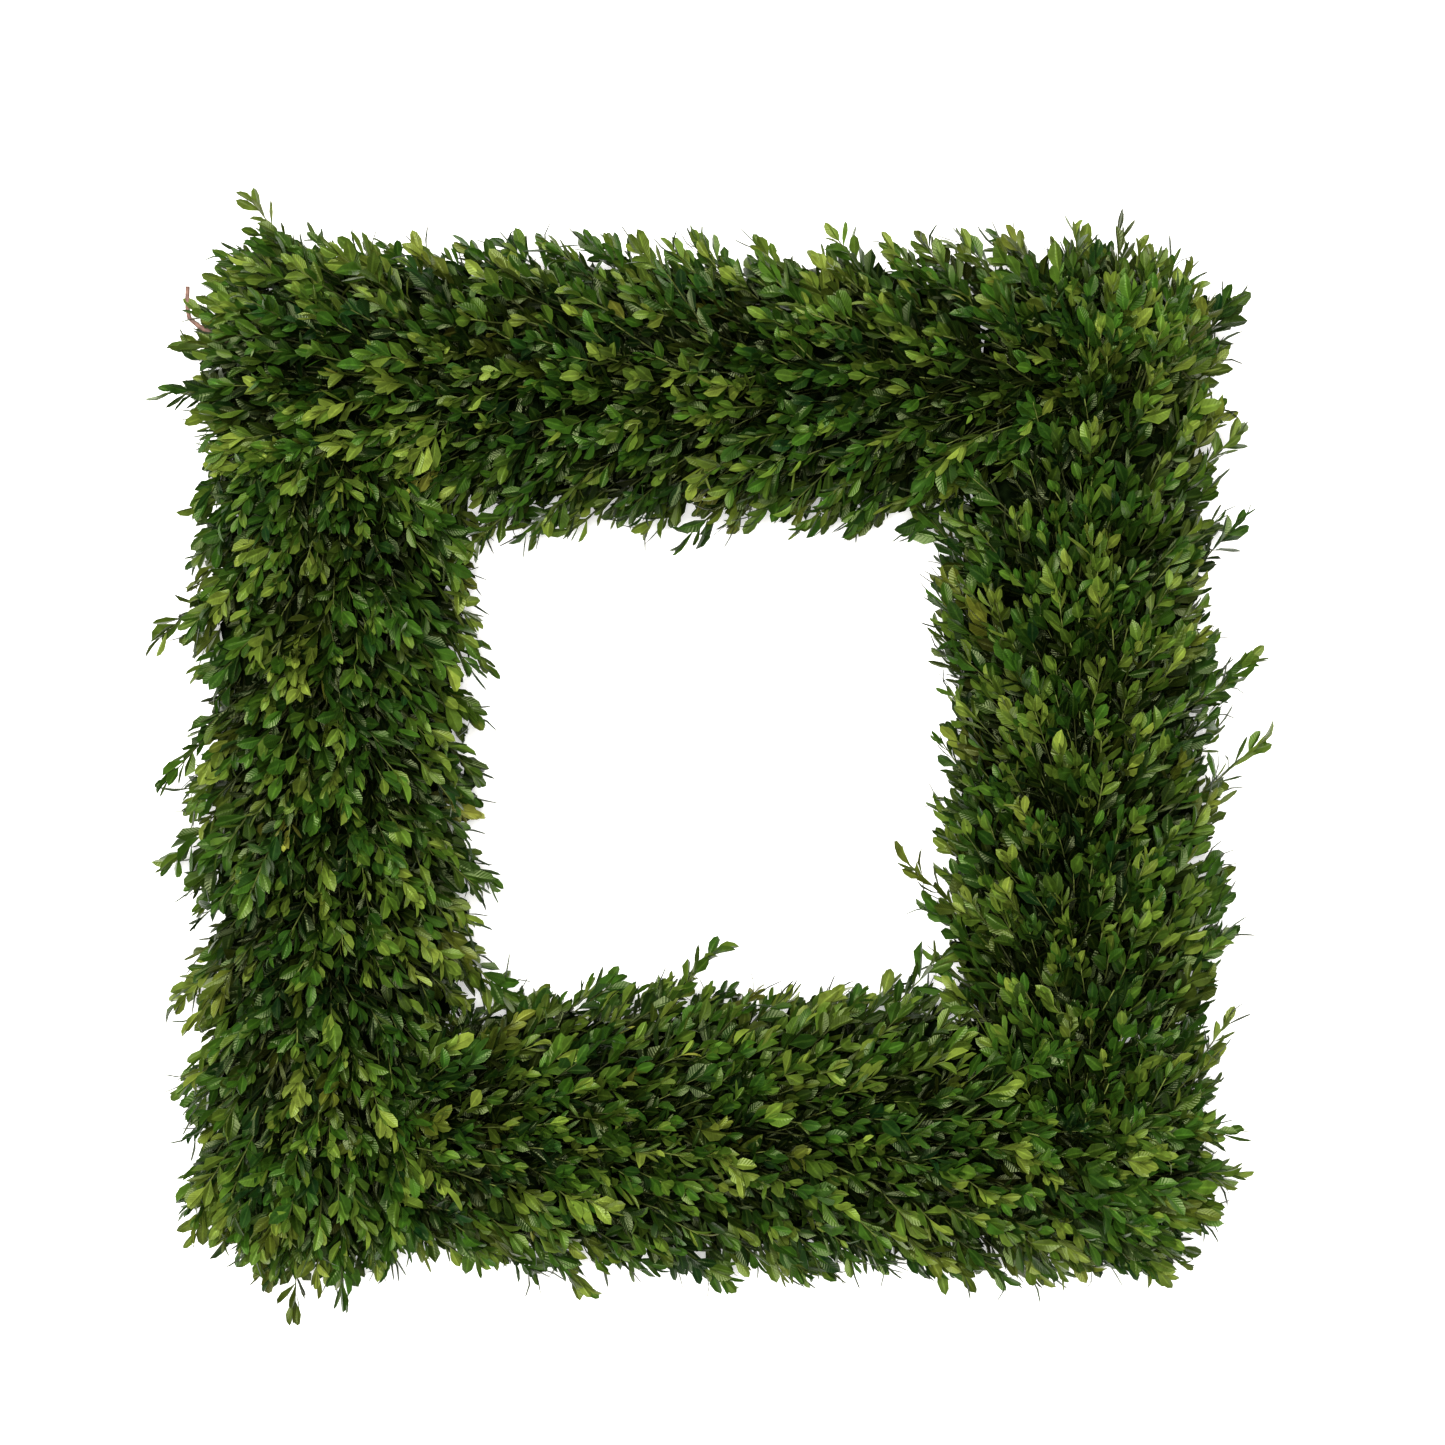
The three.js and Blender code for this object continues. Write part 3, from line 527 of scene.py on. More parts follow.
def leaf_colours(tips, places, narrow, pairs, bar):
    """A colour for every leaf, by its patch, its sprig, its place on it, and painted shade by its depth in
    the bar.
    """
    n = len(tips)
    shape = (n, pairs, 2)
    painted_light = painted_depth_light(places)
    world = to_world(tips, bar)
    large, small = PATCH_SIZES
    patch = np.array([noise.noise(Vector(p / large)) for p in world])
    patch = patch + 0.5 * np.array([noise.noise(Vector(p / small + PATCH_SHIFT)) for p in world])
    young = 1 - LEAF_PLACES[:pairs] / LEAF_PLACES[-1]
    rim = np.maximum(np.abs(tips[:, 1]) / REACH_SIDE, (tips[:, 0] - (END - NOSE)) / NOSE)
    rim = np.clip((rim - RIM_FROM) / (1 - RIM_FROM), 0, 1)
    tone = TONE + TONE_PATCH * patch + RNG.normal(0, TONE_SPRIG, n)
    tone = tone[:, None, None] + TONE_YOUNG * (young[:, None] - YOUNG_MIDDLE) - TONE_INNER * (1 - painted_light)
    tone = np.clip(tone + RNG.normal(0, TONE_LEAF, shape), 0, 1)[..., None]
    colour = np.where(tone < 0.5, DEEP + (MID - DEEP) * tone * 2, MID + (BRIGHT - MID) * (tone * 2 - 1))
    warm = np.clip(RNG.normal(*WARM, n) + RIM_WARM * rim, 0, 1)[:, None, None, None]
    colour = colour + (OLIVE * (OLIVE_TONE[0] + OLIVE_TONE[1] * tone) - colour) * warm
    faded = (RNG.random(shape) < FADED_LEAVES)[..., None]
    faded = faded | (RNG.random(n) < FADED_SPRIGS)[:, None, None, None]
    colour = np.where(faded, FADED * RNG.uniform(*FADED_SHADES, shape)[..., None], colour)
    # painted shade: darker deep inside the bar, low by the floor and towards a sprig's root
    shade = (INNER_SHADE + (1 - INNER_SHADE) * painted_light) * (OLD_SHADE + (1 - OLD_SHADE) * young[:, None])
    # painted shade at the rim, against the light from the white floor
    shade = shade * np.where(narrow, NARROW_SHADE, 1) * (1 - RIM_SHADE * rim)[:, None, None]
    return colour * (shade * RNG.normal(1, SHADE_UNEVEN, shape))[..., None]


class Leaf:
    """A leaf's faces: rings of left edge, upper middle, right edge and lower middle, and two end points."""

    def __init__(self, outline):
        rings = len(outline)
        tip = 1 + 4 * rings
        quads, tris = [], []
        for first in range(1, tip - 4, 4):
            for j in range(4):
                a, b = first + j, first + (j + 1) % 4
                quads.append((a, b, b + 4, a + 4))
        for j in range(4):
            k = (j + 1) % 4
            tris.append((0, 1 + k, 1 + j))
            tris.append((tip - 4 + j, tip - 4 + k, tip))
        self.quads, self.tris = np.array(quads), np.array(tris)
        self.quads_under = np.tile([0, 0, 1, 1], rings - 1)
        self.tris_under = np.repeat([0, 0, 1, 1], 2)
        self.lines = np.array([END_POINT] + [0, 1, 2, 3] * rings + [END_POINT])
        self.across = np.array([0.0] + [-1.0, 0.0, 1.0, 0.0] * rings + [0.0])
        self.along = np.array([0.0] + [share for share, _ in outline for _ in range(4)] + [1.0])
        self.half = np.array([0.0] + [width for _, width in outline for _ in range(4)] + [0.0])
        self.rise = np.array([0.0] + [0.0, 0.5, 0.0, -0.5] * rings + [0.0]) * LEAF_THICKNESS

    def points(self, base, axis, across, normal, length, narrow):
        """The corners of each leaf, folded along its midrib and arched along its length."""
        n = len(base)
        width = length * RNG.uniform(*LEAF_WIDTH, n) * np.where(narrow, NARROW, 1)
        fold = RNG.normal(*LEAF_FOLD, n)[:, None]
        arch = RNG.normal(LEAF_ARCH[0], np.where(narrow, NARROW_ARCH, LEAF_ARCH[1]))[:, None]
        arch = np.where(np.abs(arch) < LEAST_ARCH, LEAST_ARCH, arch)
        out = self.across * self.half * width[:, None] / 2
        along = length[:, None] * np.sin(arch * self.along) / arch
        up = length[:, None] * (np.cos(arch * self.along) - 1) / arch + fold * np.abs(out) + self.rise
        return (
            base[:, None, :]
            + axis[:, None, :] * along[..., None]
            + across[:, None, :] * out[..., None]
            + normal[:, None, :] * up[..., None]
        )


class Body:
    """Vertices, faces and what the shaders read, gathered for one mesh."""

    def __init__(self):
        self.points, self.tints, self.across, self.along, self.lines = [], [], [], [], []
        self.faces = []  # (array of faces, material, smooth, underside of a leaf)
        self.count = 0

    def add(
        self, points, faces, slot, tint=(0, 0, 0), smooth=True,
        across=None, along=None, lines=None, under=None,
    ):
        n = len(points)
        self.points.append(points)
        self.tints.append(np.broadcast_to(tint, (n, 3)))
        self.across.append(np.zeros(n) if across is None else across)
        self.along.append(np.zeros(n) if along is None else along)
        self.lines.append(np.full(n, NO_LEAF) if lines is None else lines)
        for i, group in enumerate(faces):
            low_side = np.zeros(len(group)) if under is None else under[i]
            self.faces.append((group + self.count, slot, smooth, low_side))
        self.count += n

    def build(self, name, materials):
        mesh = bpy.data.meshes.new(name)
        points = np.concatenate(self.points) * MM
        mesh.vertices.add(len(points))
        mesh.vertices.foreach_set("co", points.astype(np.float32).ravel())
        corners = np.concatenate([f.ravel() for f, *_ in self.faces])
        counts = [len(f) for f, *_ in self.faces]
        sizes = np.repeat([f.shape[1] for f, *_ in self.faces], counts)
        mesh.loops.add(len(corners))
        mesh.loops.foreach_set("vertex_index", corners.astype(np.int32))
        mesh.polygons.add(len(sizes))
        mesh.polygons.foreach_set("loop_start", (np.cumsum(sizes) - sizes).astype(np.int32))
        slots = np.repeat([slot for _, slot, *_ in self.faces], counts)
        mesh.polygons.foreach_set("material_index", slots.astype(np.int32))
        smooth = np.repeat([s for _, _, s, _ in self.faces], counts)
        mesh.polygons.foreach_set("use_smooth", smooth)
        mesh.update(calc_edges=True)
        self.mark_folds(mesh)
        tint = mesh.attributes.new("tint", "FLOAT_COLOR", "POINT")
        rgba = np.concatenate([np.concatenate(self.tints), np.ones((len(points), 1))], axis=1)
        tint.data.foreach_set("color", rgba.astype(np.float32).ravel())
        under = [u for *_, u in self.faces]
        marks = (("across", "POINT", self.across), ("along", "POINT", self.along), ("under", "FACE", under))
        for key, domain, values in marks:
            made = mesh.attributes.new(key, "FLOAT", domain)
            made.data.foreach_set("value", np.concatenate(values).astype(np.float32))
        for material in materials:
            mesh.materials.append(material)
        made = bpy.data.objects.new(name, mesh)
        bpy.context.scene.collection.objects.link(made)
        return made

    def mark_folds(self, mesh):
        """A leaf is smooth along its length, and creased at its midrib and its margins."""
        lines = np.concatenate(self.lines)
        ends = np.empty(2 * len(mesh.edges), dtype=np.int32)
        mesh.edges.foreach_get("vertices", ends)
        a, b = lines[ends[0::2]], lines[ends[1::2]]
        sharp = ((a == b) | (a == END_POINT) | (b == END_POINT)) & (a != NO_LEAF)
        mesh.attributes.new("sharp_edge", "BOOLEAN", "EDGE").data.foreach_set("value", sharp)


def place_leaves(body, outline, leaves, colours, bar):
    """Leaves of one outline, each lifted so far that none of it is below the floor."""
    leaf = Leaf(outline)
    corners = to_world(leaf.points(*leaves), bar)
    lift = np.maximum(LOWEST_LEAF - corners[..., 2].min(axis=1), 0)
    corners[..., 2] += lift[:, None]
    n, each = corners.shape[:2]
    starts = (np.arange(n) * each)[:, None, None]
    body.add(
        corners.reshape(-1, 3),
        [(faces[None] + starts).reshape(-1, faces.shape[1]) for faces in (leaf.quads, leaf.tris)],
        LEAF,
        np.repeat(colours, each, axis=0),
        across=np.tile(leaf.across, n),
        along=np.tile(leaf.along, n),
        lines=np.tile(leaf.lines, n),
        under=(np.tile(leaf.quads_under, n), np.tile(leaf.tris_under, n)),
    )


def add_curled(body, sprigs, bar):
    """Thin dark leaves, seen edge on from above, at the tips of some outermost sprigs."""
    sideways = np.abs(sprigs[:, 2, 1]) / REACH_SIDE
    before_end = END - sprigs[:, 2, 0]
    at_side = (sideways > CURL_SIDES[0]) & (sideways < CURL_SIDES[1])
    at_end = (before_end < CURL_ENDS[0]) & (before_end > CURL_ENDS[1])
    rim = np.flatnonzero(at_side | at_end)
    chosen = sprigs[RNG.choice(rim, min(CURLED, len(rim)), replace=False)]
    ahead = chosen[:, 2] - chosen[:, 1]
    ahead[:, 2] *= CURL_RISE
    ahead = np.repeat(unit(ahead), 2, axis=0)
    level = unit(np.cross(UP, ahead))
    turn = (RNG.uniform(*CURL_TURN, len(ahead)) * np.tile([-1, 1], len(chosen)))[:, None]
    axis = ahead * np.cos(turn) + level * np.sin(turn)
    normal = unit(np.cross(UP, axis))
    length = LEAF_LENGTH * RNG.uniform(*CURL_LENGTH, len(axis))
    bases = np.repeat(chosen[:, 2], 2, axis=0)
    leaves = (bases, axis, np.cross(normal, axis), normal, length, np.full(len(axis), True))
    colours = CURL_COLOUR * RNG.uniform(*CURL_SHADES, (len(axis), 1))
    place_leaves(body, LEAF_OUTLINES[CURL_OUTLINE][1], leaves, colours, bar)


def add_leaves(body, sprigs, pairs, larger, bar):
    """The leaf pairs of some sprigs, with the finest outlines at their tips."""
    leaves = leaves_of(sprigs, pairs, larger)
    middles = leaves[0] + leaves[1] * leaves[4][..., None] / 2
    colours = leaf_colours(sprigs[:, 2], middles, leaves[5], pairs, bar)
    first = 0
    for last, outline in LEAF_OUTLINES:
        chosen = slice(first, last)
        first = last
        vectors = [a[:, chosen].reshape(-1, 3) for a in leaves[:4]]
        numbers = [a[:, chosen].reshape(-1) for a in leaves[4:]]
        place_leaves(body, outline, (*vectors, *numbers), colours[:, chosen].reshape(-1, 3), bar)


def add_sprigs(body, sprigs, bar, pairs=PAIRS, larger=1.0):
    """The twigs of some sprigs, and their leaves."""
    sprigs = np.array(sprigs)
    add_stems(body, sprigs, bar)
    add_leaves(body, sprigs, pairs, larger, bar)


def tube_faces(rings, sides, closed=False):
    """Quads of a tube of rings, and its end caps as triangles unless it closes on itself."""
    i, j = np.meshgrid(np.arange(rings if closed else rings - 1), np.arange(sides), indexing="ij")
    a, b = i * sides + j, i * sides + (j + 1) % sides
    step = rings * sides
    quads = np.stack([a, b, (b + sides) % step, (a + sides) % step], axis=-1).reshape(-1, 4)
    if closed:
        return (quads,)
    caps = []
    last = (rings - 1) * sides
    for k in range(1, sides - 1):
        caps.append((0, k + 1, k))
        caps.append((last, last + k, last + k + 1))
    return quads, np.array(caps)


def add_stems(body, sprigs, bar):
    """A twig under the leaves of each sprig, thinner towards its tip."""
    rings, sides = STEM_RINGS, STEM_SIDES
    t = np.broadcast_to(np.linspace(0, 1, rings), (len(sprigs), rings))
    point, tangent = bezier(sprigs, t)
    side = unit(np.cross(np.broadcast_to(sprigs[:, 3, None, :], tangent.shape), tangent))
    up = np.cross(tangent, side)
    radius = np.linspace(*STEM_RADII, rings)[None, :, None, None]
    turn = np.arange(sides) * 2 * math.pi / sides
    circle, _ = turned(side[:, :, None, :], up[:, :, None, :], turn)
    corners = to_world(point[:, :, None, :] + circle * radius, bar)
    starts = (np.arange(len(sprigs)) * rings * sides)[:, None, None]
    faces = [(group[None] + starts).reshape(-1, group.shape[1]) for group in tube_faces(rings, sides)]
    tint = OLD_STEM + (YOUNG_STEM - OLD_STEM) * np.linspace(0, 1, rings)[:, None] ** STEM_YOUNG
    tint = tint * RNG.uniform(*STEM_SHADES, len(sprigs))[:, None, None]
    body.add(corners.reshape(-1, 3), faces, STEM, np.repeat(tint.reshape(-1, 3), sides, axis=0))


def add_tube(body, path, radii, sides, slot, closed=False):
    """A round tube along a path, with rings that don't twist."""
    ahead = np.roll(path, -1, axis=0) - path
    behind = path - np.roll(path, 1, axis=0)
    if not closed:
        ahead[-1], behind[0] = behind[-1], ahead[0]
    tangent = unit(unit(ahead) + unit(behind))
    normal = unit(np.cross((0.1, 0.2, 1.0), tangent[0]))
    turn = np.arange(sides) * 2 * math.pi / sides
    corners = []
    for p, along, radius in zip(path, tangent, np.broadcast_to(radii, len(path))):
        normal = unit(normal - normal.dot(along) * along)
        other = np.cross(along, normal)
        corners.append(p + radius * (np.outer(np.cos(turn), normal) + np.outer(np.sin(turn), other)))
    body.add(np.concatenate(corners), tube_faces(len(path), sides, closed), slot)


def add_heart(body, bar, k):
    """The near-black inside of a bunch, painted shade, which the leaves stand out of."""
    s = FIRST + k * PITCH
    last = k == BUNCHES - 1
    length = PITCH + HEART_OVERLAP + (HEART_END if last else 0)
    rings = []
    for share in np.linspace(0, 1, HEART_RINGS):
        size = 1 - max(0, share - HEART_NARROWS) if last else 1
        if k == 0:
            size = min(1, HEART_START[0] + HEART_START[1] * share)
        half, height = HEART_HALF * size, HEART_HEIGHT * (HEART_TALL + (1 - HEART_TALL) * size)
        for degrees in np.linspace(-HEART_ARC, HEART_ARC, HEART_SIDES):
            angle = math.radians(degrees)
            lump = Vector((s / LUMP_SHIFT + share * LUMPS_ALONG, degrees / LUMP_ARC, bar))
            rough = 1 + HEART_ROUGH * noise.noise(lump)
            up = HEART_FLANK + (height - HEART_FLANK) * math.cos(angle) * rough
            rings.append((s + share * length, half * math.sin(angle) * rough, BED + max(HEART_FLAT, up)))
    faces = tube_faces(HEART_RINGS, HEART_SIDES)
    body.add(to_world(np.array(rings), bar), faces, HEART, smooth=False)


def add_tails(body, bar, k):
    """Cut stems side by side on the rails, under the binding wire and on under the leaves."""
    s = FIRST + k * PITCH
    for i in range(TAILS):
        across = -TAIL_SIDE + 2 * TAIL_SIDE * i / (TAILS - 1) + RNG.uniform(-TAIL_SHIFT, TAIL_SHIFT)
        radius = RNG.uniform(*TAIL_RADII)
        layer = BED + radius + (i % 2) * RNG.uniform(*TAIL_LAYER)
        reach = RNG.uniform(*TAIL_RUNS)
        along = (RNG.uniform(*TAIL_ENDS), TAIL, TAIL + 0.5 * reach, TAIL + reach)
        places = zip(along, TAIL_SPREADS, TAIL_RISES)
        path = np.array([(s + x, across * spread, layer + rise) for x, spread, rise in places])
        add_tube(body, to_world(path, bar), radius * np.array(TAIL_TAPER), ROUND_SIDES, BARK)


def add_bare_twig(body, bar):
    """The brown twig end that stands out of the wreath's corner."""
    path = np.array(BARE_TWIG, dtype=float)
    runs = [np.linspace(a, b, TWIG_STEPS + 1)[:-1] for a, b in zip(path[:-1], path[1:])]
    fine = np.concatenate(runs + [path[-1:]])
    for i in range(1, len(fine) - 1):
        fine[i] = 0.25 * fine[i - 1] + 0.5 * fine[i] + 0.25 * fine[i + 1]
    add_tube(body, to_world(fine, bar), np.linspace(*TWIG_RADII, len(fine)), ROUND_SIDES, TWIG)


def rail_path(half, corner):
    """A rounded square round the wreath's middle."""
    straight = half - corner
    points = []
    for side in range(4):
        turn = side * math.pi / 2
        centre = np.array(rotated(1, 1, turn)) * straight
        for share in np.linspace(0, 1, CORNER_POINTS):
            angle = turn + share * math.pi / 2
            points.append((*(centre + corner * np.array([math.cos(angle), math.sin(angle)])), RAIL_Z))
    return np.array(points) + MIDDLE


def make_wire_frame(material):
    """Two welded rails of round wire on eight cross braces."""
    body = Body()
    half = RAIL_SPACING / 2
    radius = WIRE / 2
    for rail in (rail_path(CENTRE - half, RAIL_CORNER), rail_path(CENTRE + half, RAIL_CORNER + RAIL_SPACING)):
        add_tube(body, rail, radius, RAIL_SIDES, 0, closed=True)
    reach = half + WIRE / 2 + BRACE_OVERHANG
    shares = np.array([-1, -BRACE_ROUND, BRACE_ROUND, 1])[:, None]
    radii = (radius * BRACE_TAPER, radius, radius, radius * BRACE_TAPER)
    bend = CENTRE - half - RAIL_CORNER + (RAIL_CORNER + half) * math.sqrt(0.5)
    for side in range(4):
        turn = side * math.pi / 2
        for x, y, way in ((0, -CENTRE, turn), (-bend, -bend, turn - math.pi / 4)):
            at = np.array([*rotated(x, y, turn), radius])
            ahead = np.array([-math.sin(way), math.cos(way), 0])
            path = at + MIDDLE + ahead * reach * shares
            add_tube(body, path, radii, RAIL_SIDES, 0)
    made = body.build("round_wire_frame", [material])
    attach(made, "root")
    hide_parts("wire_frame")


def make_binding(material):
    """One wire that turns once round the rails and the cut stems of each bunch."""
    beside = RAIL_SPACING / 2 + WIRE / 2 + CLEARANCE + BINDING / 2
    below = RAIL_Z - WIRE / 2 - CLEARANCE - BINDING / 2
    above = BED + STEM_HEIGHT + CLEARANCE + BINDING / 2
    between = WIRE + CLEARANCE + BINDING / 2 + BRACE_SPARE
    inside = RAIL_SPACING / 2 - UNDER_RAIL
    across = (0, inside, beside, beside, -beside, -beside, -inside, 0)
    heights = (between, below, below, above, above, below, below, between)
    points = []
    for bar in range(4):
        local = []
        for k in range(BUNCHES):
            s = FIRST + k * PITCH + TAIL / 2
            local += [(s + x, y, z) for x, y, z in zip(TURN_PLACES, across, heights)]
        radius = RAIL_CORNER + RAIL_SPACING / 2
        for angle in (0, math.pi / 4, math.pi / 2):
            local.append((STRAIGHT_END + radius * math.sin(angle), radius * (1 - math.cos(angle)), between))
        points.append(to_world(np.array(local), bar))
    path = np.concatenate(points)
    runs = np.roll(path, -1, axis=0) - path
    shares = np.array([BINDING_CORNER, 1 - BINDING_CORNER])[:, None]
    fine = (path[:, None, :] + runs[:, None, :] * shares).reshape(-1, 3)
    body = Body()
    add_tube(body, fine, BINDING / 2, ROUND_SIDES, 0, closed=True)
    made = body.build("tied_binding_wire", [material])
    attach(made, "root")
    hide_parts("binding_wire")


class Nodes:
    """Short calls for building one material's node tree."""

    def __init__(self, name):
        self.material = bpy.data.materials.new(name)
        self.material.use_nodes = True
        self.tree = self.material.node_tree
        self.shader = self.tree.nodes["Principled BSDF"]

    def node(self, kind, **settings):
        made = self.tree.nodes.new(kind)
        for key, value in settings.items():
            setattr(made, key, value)
        return made

    def put(self, socket, value):
        """Sets a socket to a number or a colour, or links another node's output to it."""
        if isinstance(value, (int, float)):
            socket.default_value = value
        elif isinstance(value, tuple):
            socket.default_value = (*value, 1)
        else:
            self.tree.links.new(value, socket)

    def surface(self, **values):
        for key, value in values.items():
            self.put(self.shader.inputs[key.replace("_", " ")], value)

    def attribute(self, name, output="Fac"):
        return self.node("ShaderNodeAttribute", attribute_name=name).outputs[output]

    def noise(self, scale, detail=2.0, vector=None):
        made = self.node("ShaderNodeTexNoise")
        made.inputs["Scale"].default_value = scale
        made.inputs["Detail"].default_value = detail
        if vector is None:
            vector = self.node("ShaderNodeTexCoord").outputs["Object"]
        self.put(made.inputs["Vector"], vector)
        return made.outputs["Fac"]

    def math(self, operation, a, b=0.0):
        made = self.node("ShaderNodeMath", operation=operation)
        for socket, value in zip(made.inputs, (a, b)):
            self.put(socket, value)
        return made.outputs[0]

    def ranged(self, value, low, high, to_low=0.0, to_high=1.0):
        made = self.node("ShaderNodeMapRange", interpolation_type="SMOOTHSTEP")
        keys = ("Value", "From Min", "From Max", "To Min", "To Max")
        for key, number in zip(keys, (value, low, high, to_low, to_high)):
            self.put(made.inputs[key], number)
        return made.outputs["Result"]

    def scaled(self, colour, factor):
        made = self.node("ShaderNodeVectorMath", operation="SCALE")
        self.put(made.inputs["Vector"], colour)
        self.put(made.inputs["Scale"], factor)
        return made.outputs["Vector"]

    def mix(self, factor, a, b):
        made = self.node("ShaderNodeMix", data_type="RGBA")
        for key, value in (("Factor", factor), (6, a), (7, b)):  # 6 and 7 are the two colours
            self.put(made.inputs[key], value)
        return made.outputs[2]

    def bump(self, height, strength, distance):
        made = self.node("ShaderNodeBump")
        made.inputs["Strength"].default_value = strength
        made.inputs["Distance"].default_value = distance
        self.put(made.inputs["Height"], height)
        self.surface(Normal=made.outputs["Normal"])


def leaf_material():
    """Each leaf's own tint, a paler midrib and underside, faint side veins and a mottled satin surface."""
    m = Nodes("boxwood_leaf")
    tint = m.attribute("tint", "Color")
    across = m.math("ABSOLUTE", m.attribute("across"))
    along = m.attribute("along")
    rib = m.math("MULTIPLY", m.ranged(across, *RIB_EDGE, 1, 0), m.ranged(along, *RIB_END, 1, RIB_LEFT))
    slant = m.math("MULTIPLY", across, VEIN_WAVE[1])
    wave = m.math("SINE", m.math("SUBTRACT", m.math("MULTIPLY", along, VEIN_WAVE[0]), slant))
    mottle = m.noise(MOTTLE, 3)
    colour = m.scaled(tint, m.ranged(mottle, 0.3, 0.7, *MOTTLE_SHADES))
    pale = m.scaled(m.mix(PALE_SHARE, colour, PALE), PALE_GAIN)
    for where, strength in (
        (m.ranged(wave, *VEIN_EDGE), VEIN_PALE),
        (rib, RIB_PALE),
        (m.ranged(across, *MARGIN_EDGE), MARGIN_PALE),
        (m.attribute("under"), UNDER_PALE),
    ):
        colour = m.mix(m.math("MULTIPLY", where, strength), colour, pale)
    m.surface(
        Base_Color=colour,
        Roughness=m.ranged(mottle, 0.25, 0.75, *LEAF_ROUGHNESS),
        Specular_IOR_Level=LEAF_GLOSS,
        Specular_Tint=GLOSS_TINT,
    )
    m.bump(m.math("SUBTRACT", m.math("MULTIPLY", wave, 0.25), rib), 0.5, 0.0003)
    return m.material


def twig_material():
    """Young wood, green towards the tip of its sprig."""
    m = Nodes("young_twig")
    grain = m.ranged(m.noise(300, 2), 0.3, 0.7, 0.7, 1.3)
    colour = m.scaled(m.attribute("tint", "Color"), grain)
    m.surface(Base_Color=colour, Roughness=0.6, Specular_IOR_Level=0.1)
    return m.material


def heart_material():
    """What shows between the leaves: old leaves and twigs, painted near-black as shade."""
    m = Nodes("shaded_inside")
    clumps = m.noise(90, 4)
    # near-black colours: painted shade deep inside the bunch
    colour = m.mix(m.ranged(clumps, 0.4, 0.65), (0.0008, 0.0016, 0.0005), (0.004, 0.008, 0.002))
    m.surface(Base_Color=colour, Roughness=0.9, Specular_IOR_Level=0.0)
    m.bump(clumps, 1.0, 0.004)
    return m.material


def bark_material(name, dark, light):
    """Grey-brown or red-brown bark with fine flecks and bumps."""
    m = Nodes(name)
    flecks = m.noise(420, 4)
    colour = m.mix(m.ranged(flecks, 0.35, 0.7), dark, light)
    m.surface(Base_Color=colour, Roughness=m.ranged(flecks, 0.3, 0.7, 0.6, 0.85))
    m.bump(flecks, 0.6, 0.0006)
    return m.material


def painted_wire(name, colour, worn):
    """Green paint with a little wear, over steel."""
    m = Nodes(name)
    wear = m.noise(260, 5)
    paint = m.mix(m.ranged(wear, 0.62, 0.72), colour, worn)
    m.surface(Base_Color=paint, Roughness=m.ranged(wear, 0.3, 0.7, 0.30, 0.5), Metallic=0.25)
    m.bump(wear, 0.2, 0.0003)
    return m.material


def make_bunches():
    """One piece for each bunch: an inside painted near-black as shade, cut stems, twigs and leaves."""
    materials = [
        leaf_material(),
        twig_material(),
        heart_material(),
        bark_material("cut_stem", (0.045, 0.028, 0.014), (0.17, 0.12, 0.065)),
        bark_material("bare_twig", (0.10, 0.048, 0.036), (0.22, 0.12, 0.09)),
    ]
    bodies = []
    for bar, name in enumerate(BARS):
        filling = filling_sprigs(bar) + closing_sprigs(bar)
        roots = np.array([f[0][0] for f in filling])
        owners = np.clip(np.floor((roots - FIRST) / PITCH), 0, BUNCHES - 1)
        for k in range(BUNCHES):
            own = [f for f, owner in zip(filling, owners) if owner == k]
            body = Body()
            add_heart(body, bar, k)
            add_tails(body, bar, k)
            add_sprigs(body, own, bar)
            add_sprigs(body, lead_sprigs(bar, k), bar, len(LEAF_PLACES), LEAD_SIZE)
            if name == "top" and k == BUNCHES - 1:
                add_bare_twig(body, bar)
            bodies.append((body, bar, k, np.array(own)))
    for body, bar, k, _ in bodies:
        add_sprigs(body, low_sprigs(bar, k), bar)
    for body, bar, k, own in bodies:
        add_curled(body, own, bar)
        piece = body.build(f"leafy_bunch_{BARS[bar]}_{k + 1}", materials)
        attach(piece, "root")
        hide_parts(f"bunch_{BARS[bar]}_{k + 1}")


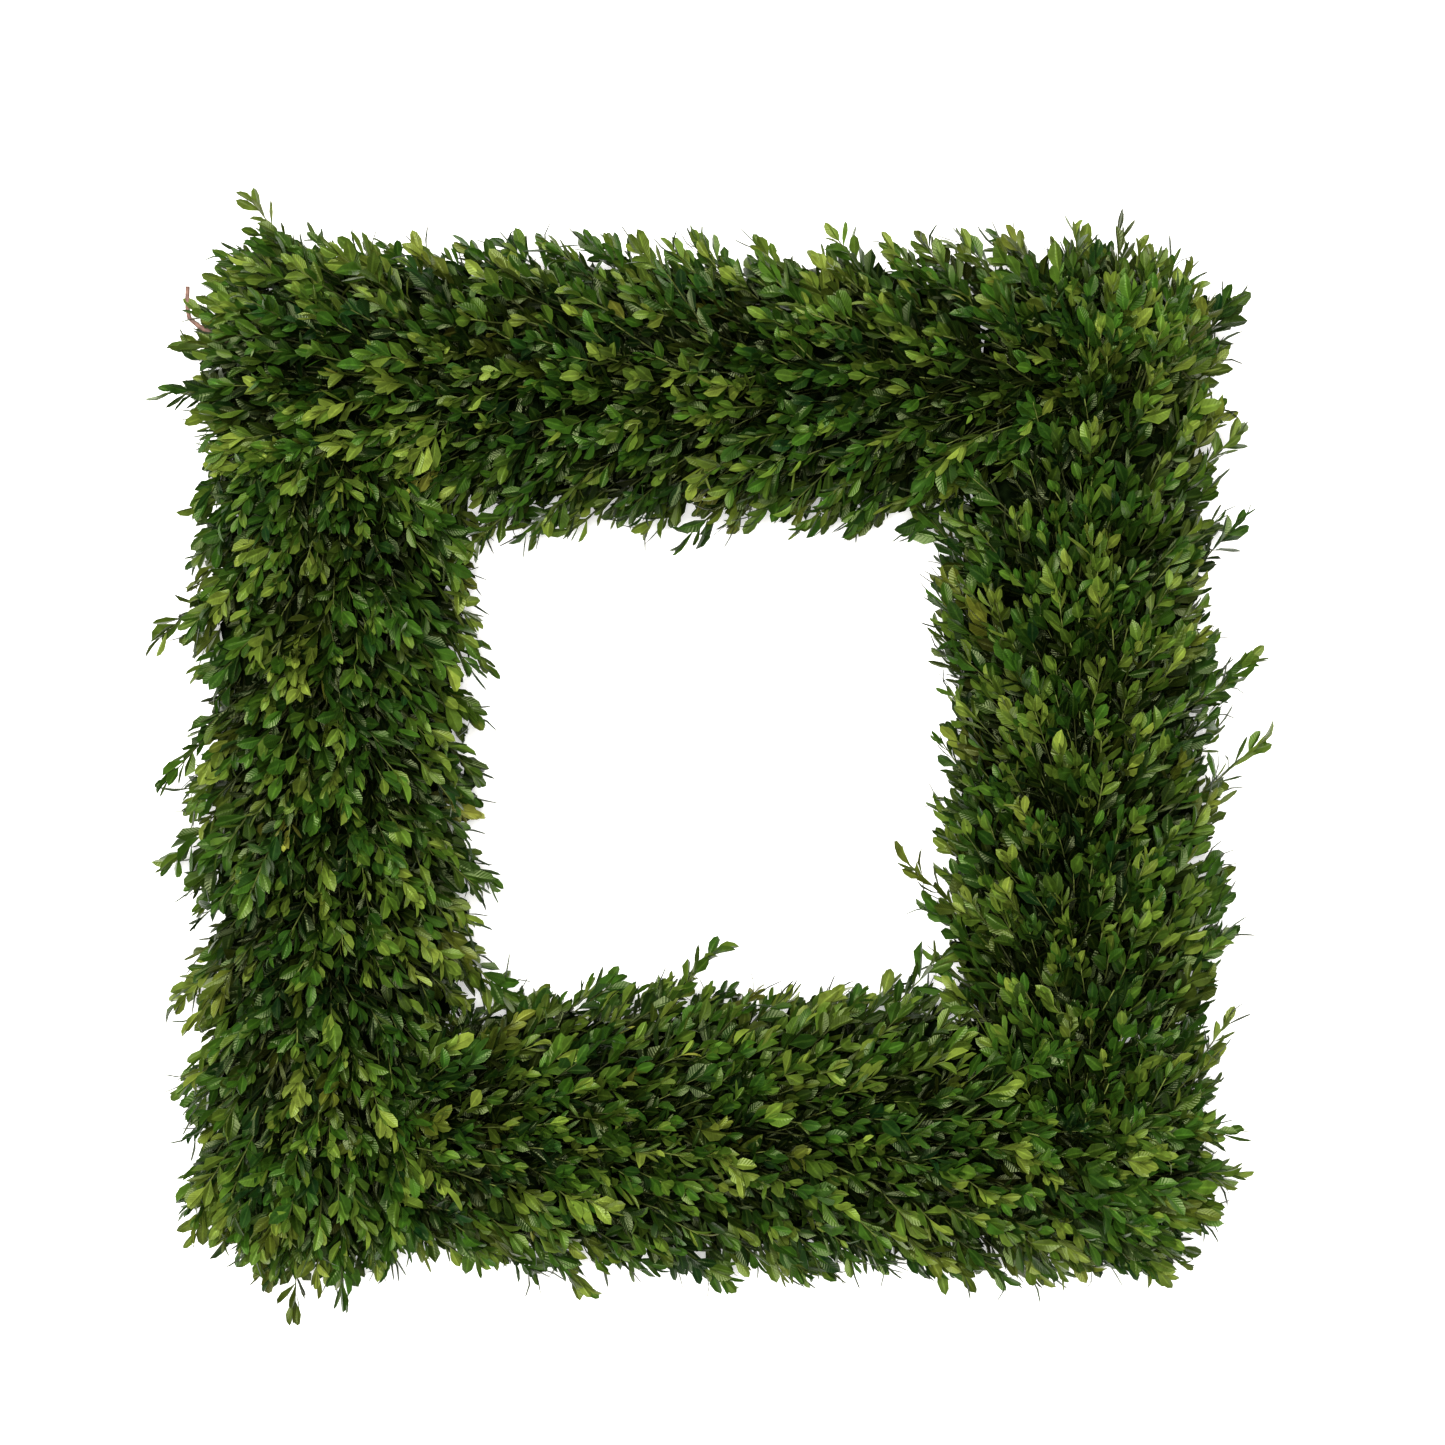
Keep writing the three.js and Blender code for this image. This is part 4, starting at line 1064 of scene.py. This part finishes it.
def make_floor():
    """A plain pale floor that the wreath lies on, which glows faintly as painted light."""
    m = Nodes("pale_floor")
    colour = m.mix(m.noise(3, 2), (0.90, 0.90, 0.90), (0.94, 0.94, 0.94))
    m.surface(Base_Color=colour, Roughness=0.8, Specular_IOR_Level=0.1)
    m.surface(Emission_Color=(1, 1, 1), Emission_Strength=FLOOR_GLOW)
    mesh = bpy.data.meshes.new("floor")
    half = FLOOR_HALF * MM
    corners = [(-half, -half, 0), (half, -half, 0), (half, half, 0), (-half, half, 0)]
    mesh.from_pydata(corners, [], [(0, 1, 2, 3)])
    mesh.materials.append(m.material)
    floor = bpy.data.objects.new("floor", mesh)
    bpy.context.scene.collection.objects.link(floor)


def make_lights():
    """An even white surround and one broad soft light from above, a little to the upper left."""
    world = bpy.data.worlds.new("studio")
    world.use_nodes = True
    background = world.node_tree.nodes["Background"]
    background.inputs["Color"].default_value = (*SURROUND_COLOUR, 1)
    background.inputs["Strength"].default_value = SURROUND
    bpy.context.scene.world = world
    key = bpy.data.lights.new("key", "SUN")
    key.energy = KEY
    key.color = KEY_COLOUR
    key.angle = math.radians(KEY_SPREAD)
    made = bpy.data.objects.new("key", key)
    made.rotation_euler = Vector(KEY_FROM).to_track_quat("Z", "Y").to_euler()
    bpy.context.scene.collection.objects.link(made)


def make_camera():
    """Straight above, with a frame that is FRAME_WIDTH across at the height of the wreath's outline."""
    data = bpy.data.cameras.new("camera")
    data.sensor_width = SENSOR
    data.lens = SENSOR * CAMERA_AWAY / FRAME_WIDTH
    made = bpy.data.objects.new("camera", data)
    at = MIDDLE + np.array(FRAME_CENTRE)
    made.location = (at[0] * MM, at[1] * MM, (OUTLINE_HEIGHT + CAMERA_AWAY) * MM)
    bpy.context.scene.collection.objects.link(made)
    bpy.context.scene.camera = made


make_camera()
make_floor()
make_lights()
make_wire_frame(painted_wire("frame_paint", (0.010, 0.030, 0.012), (0.05, 0.05, 0.045)))
make_binding(painted_wire("binding_paint", (0.012, 0.050, 0.016), (0.05, 0.06, 0.04)))
make_bunches()

scene = bpy.context.scene
scene.view_settings.view_transform = "Standard"
scene.view_settings.look = "None"
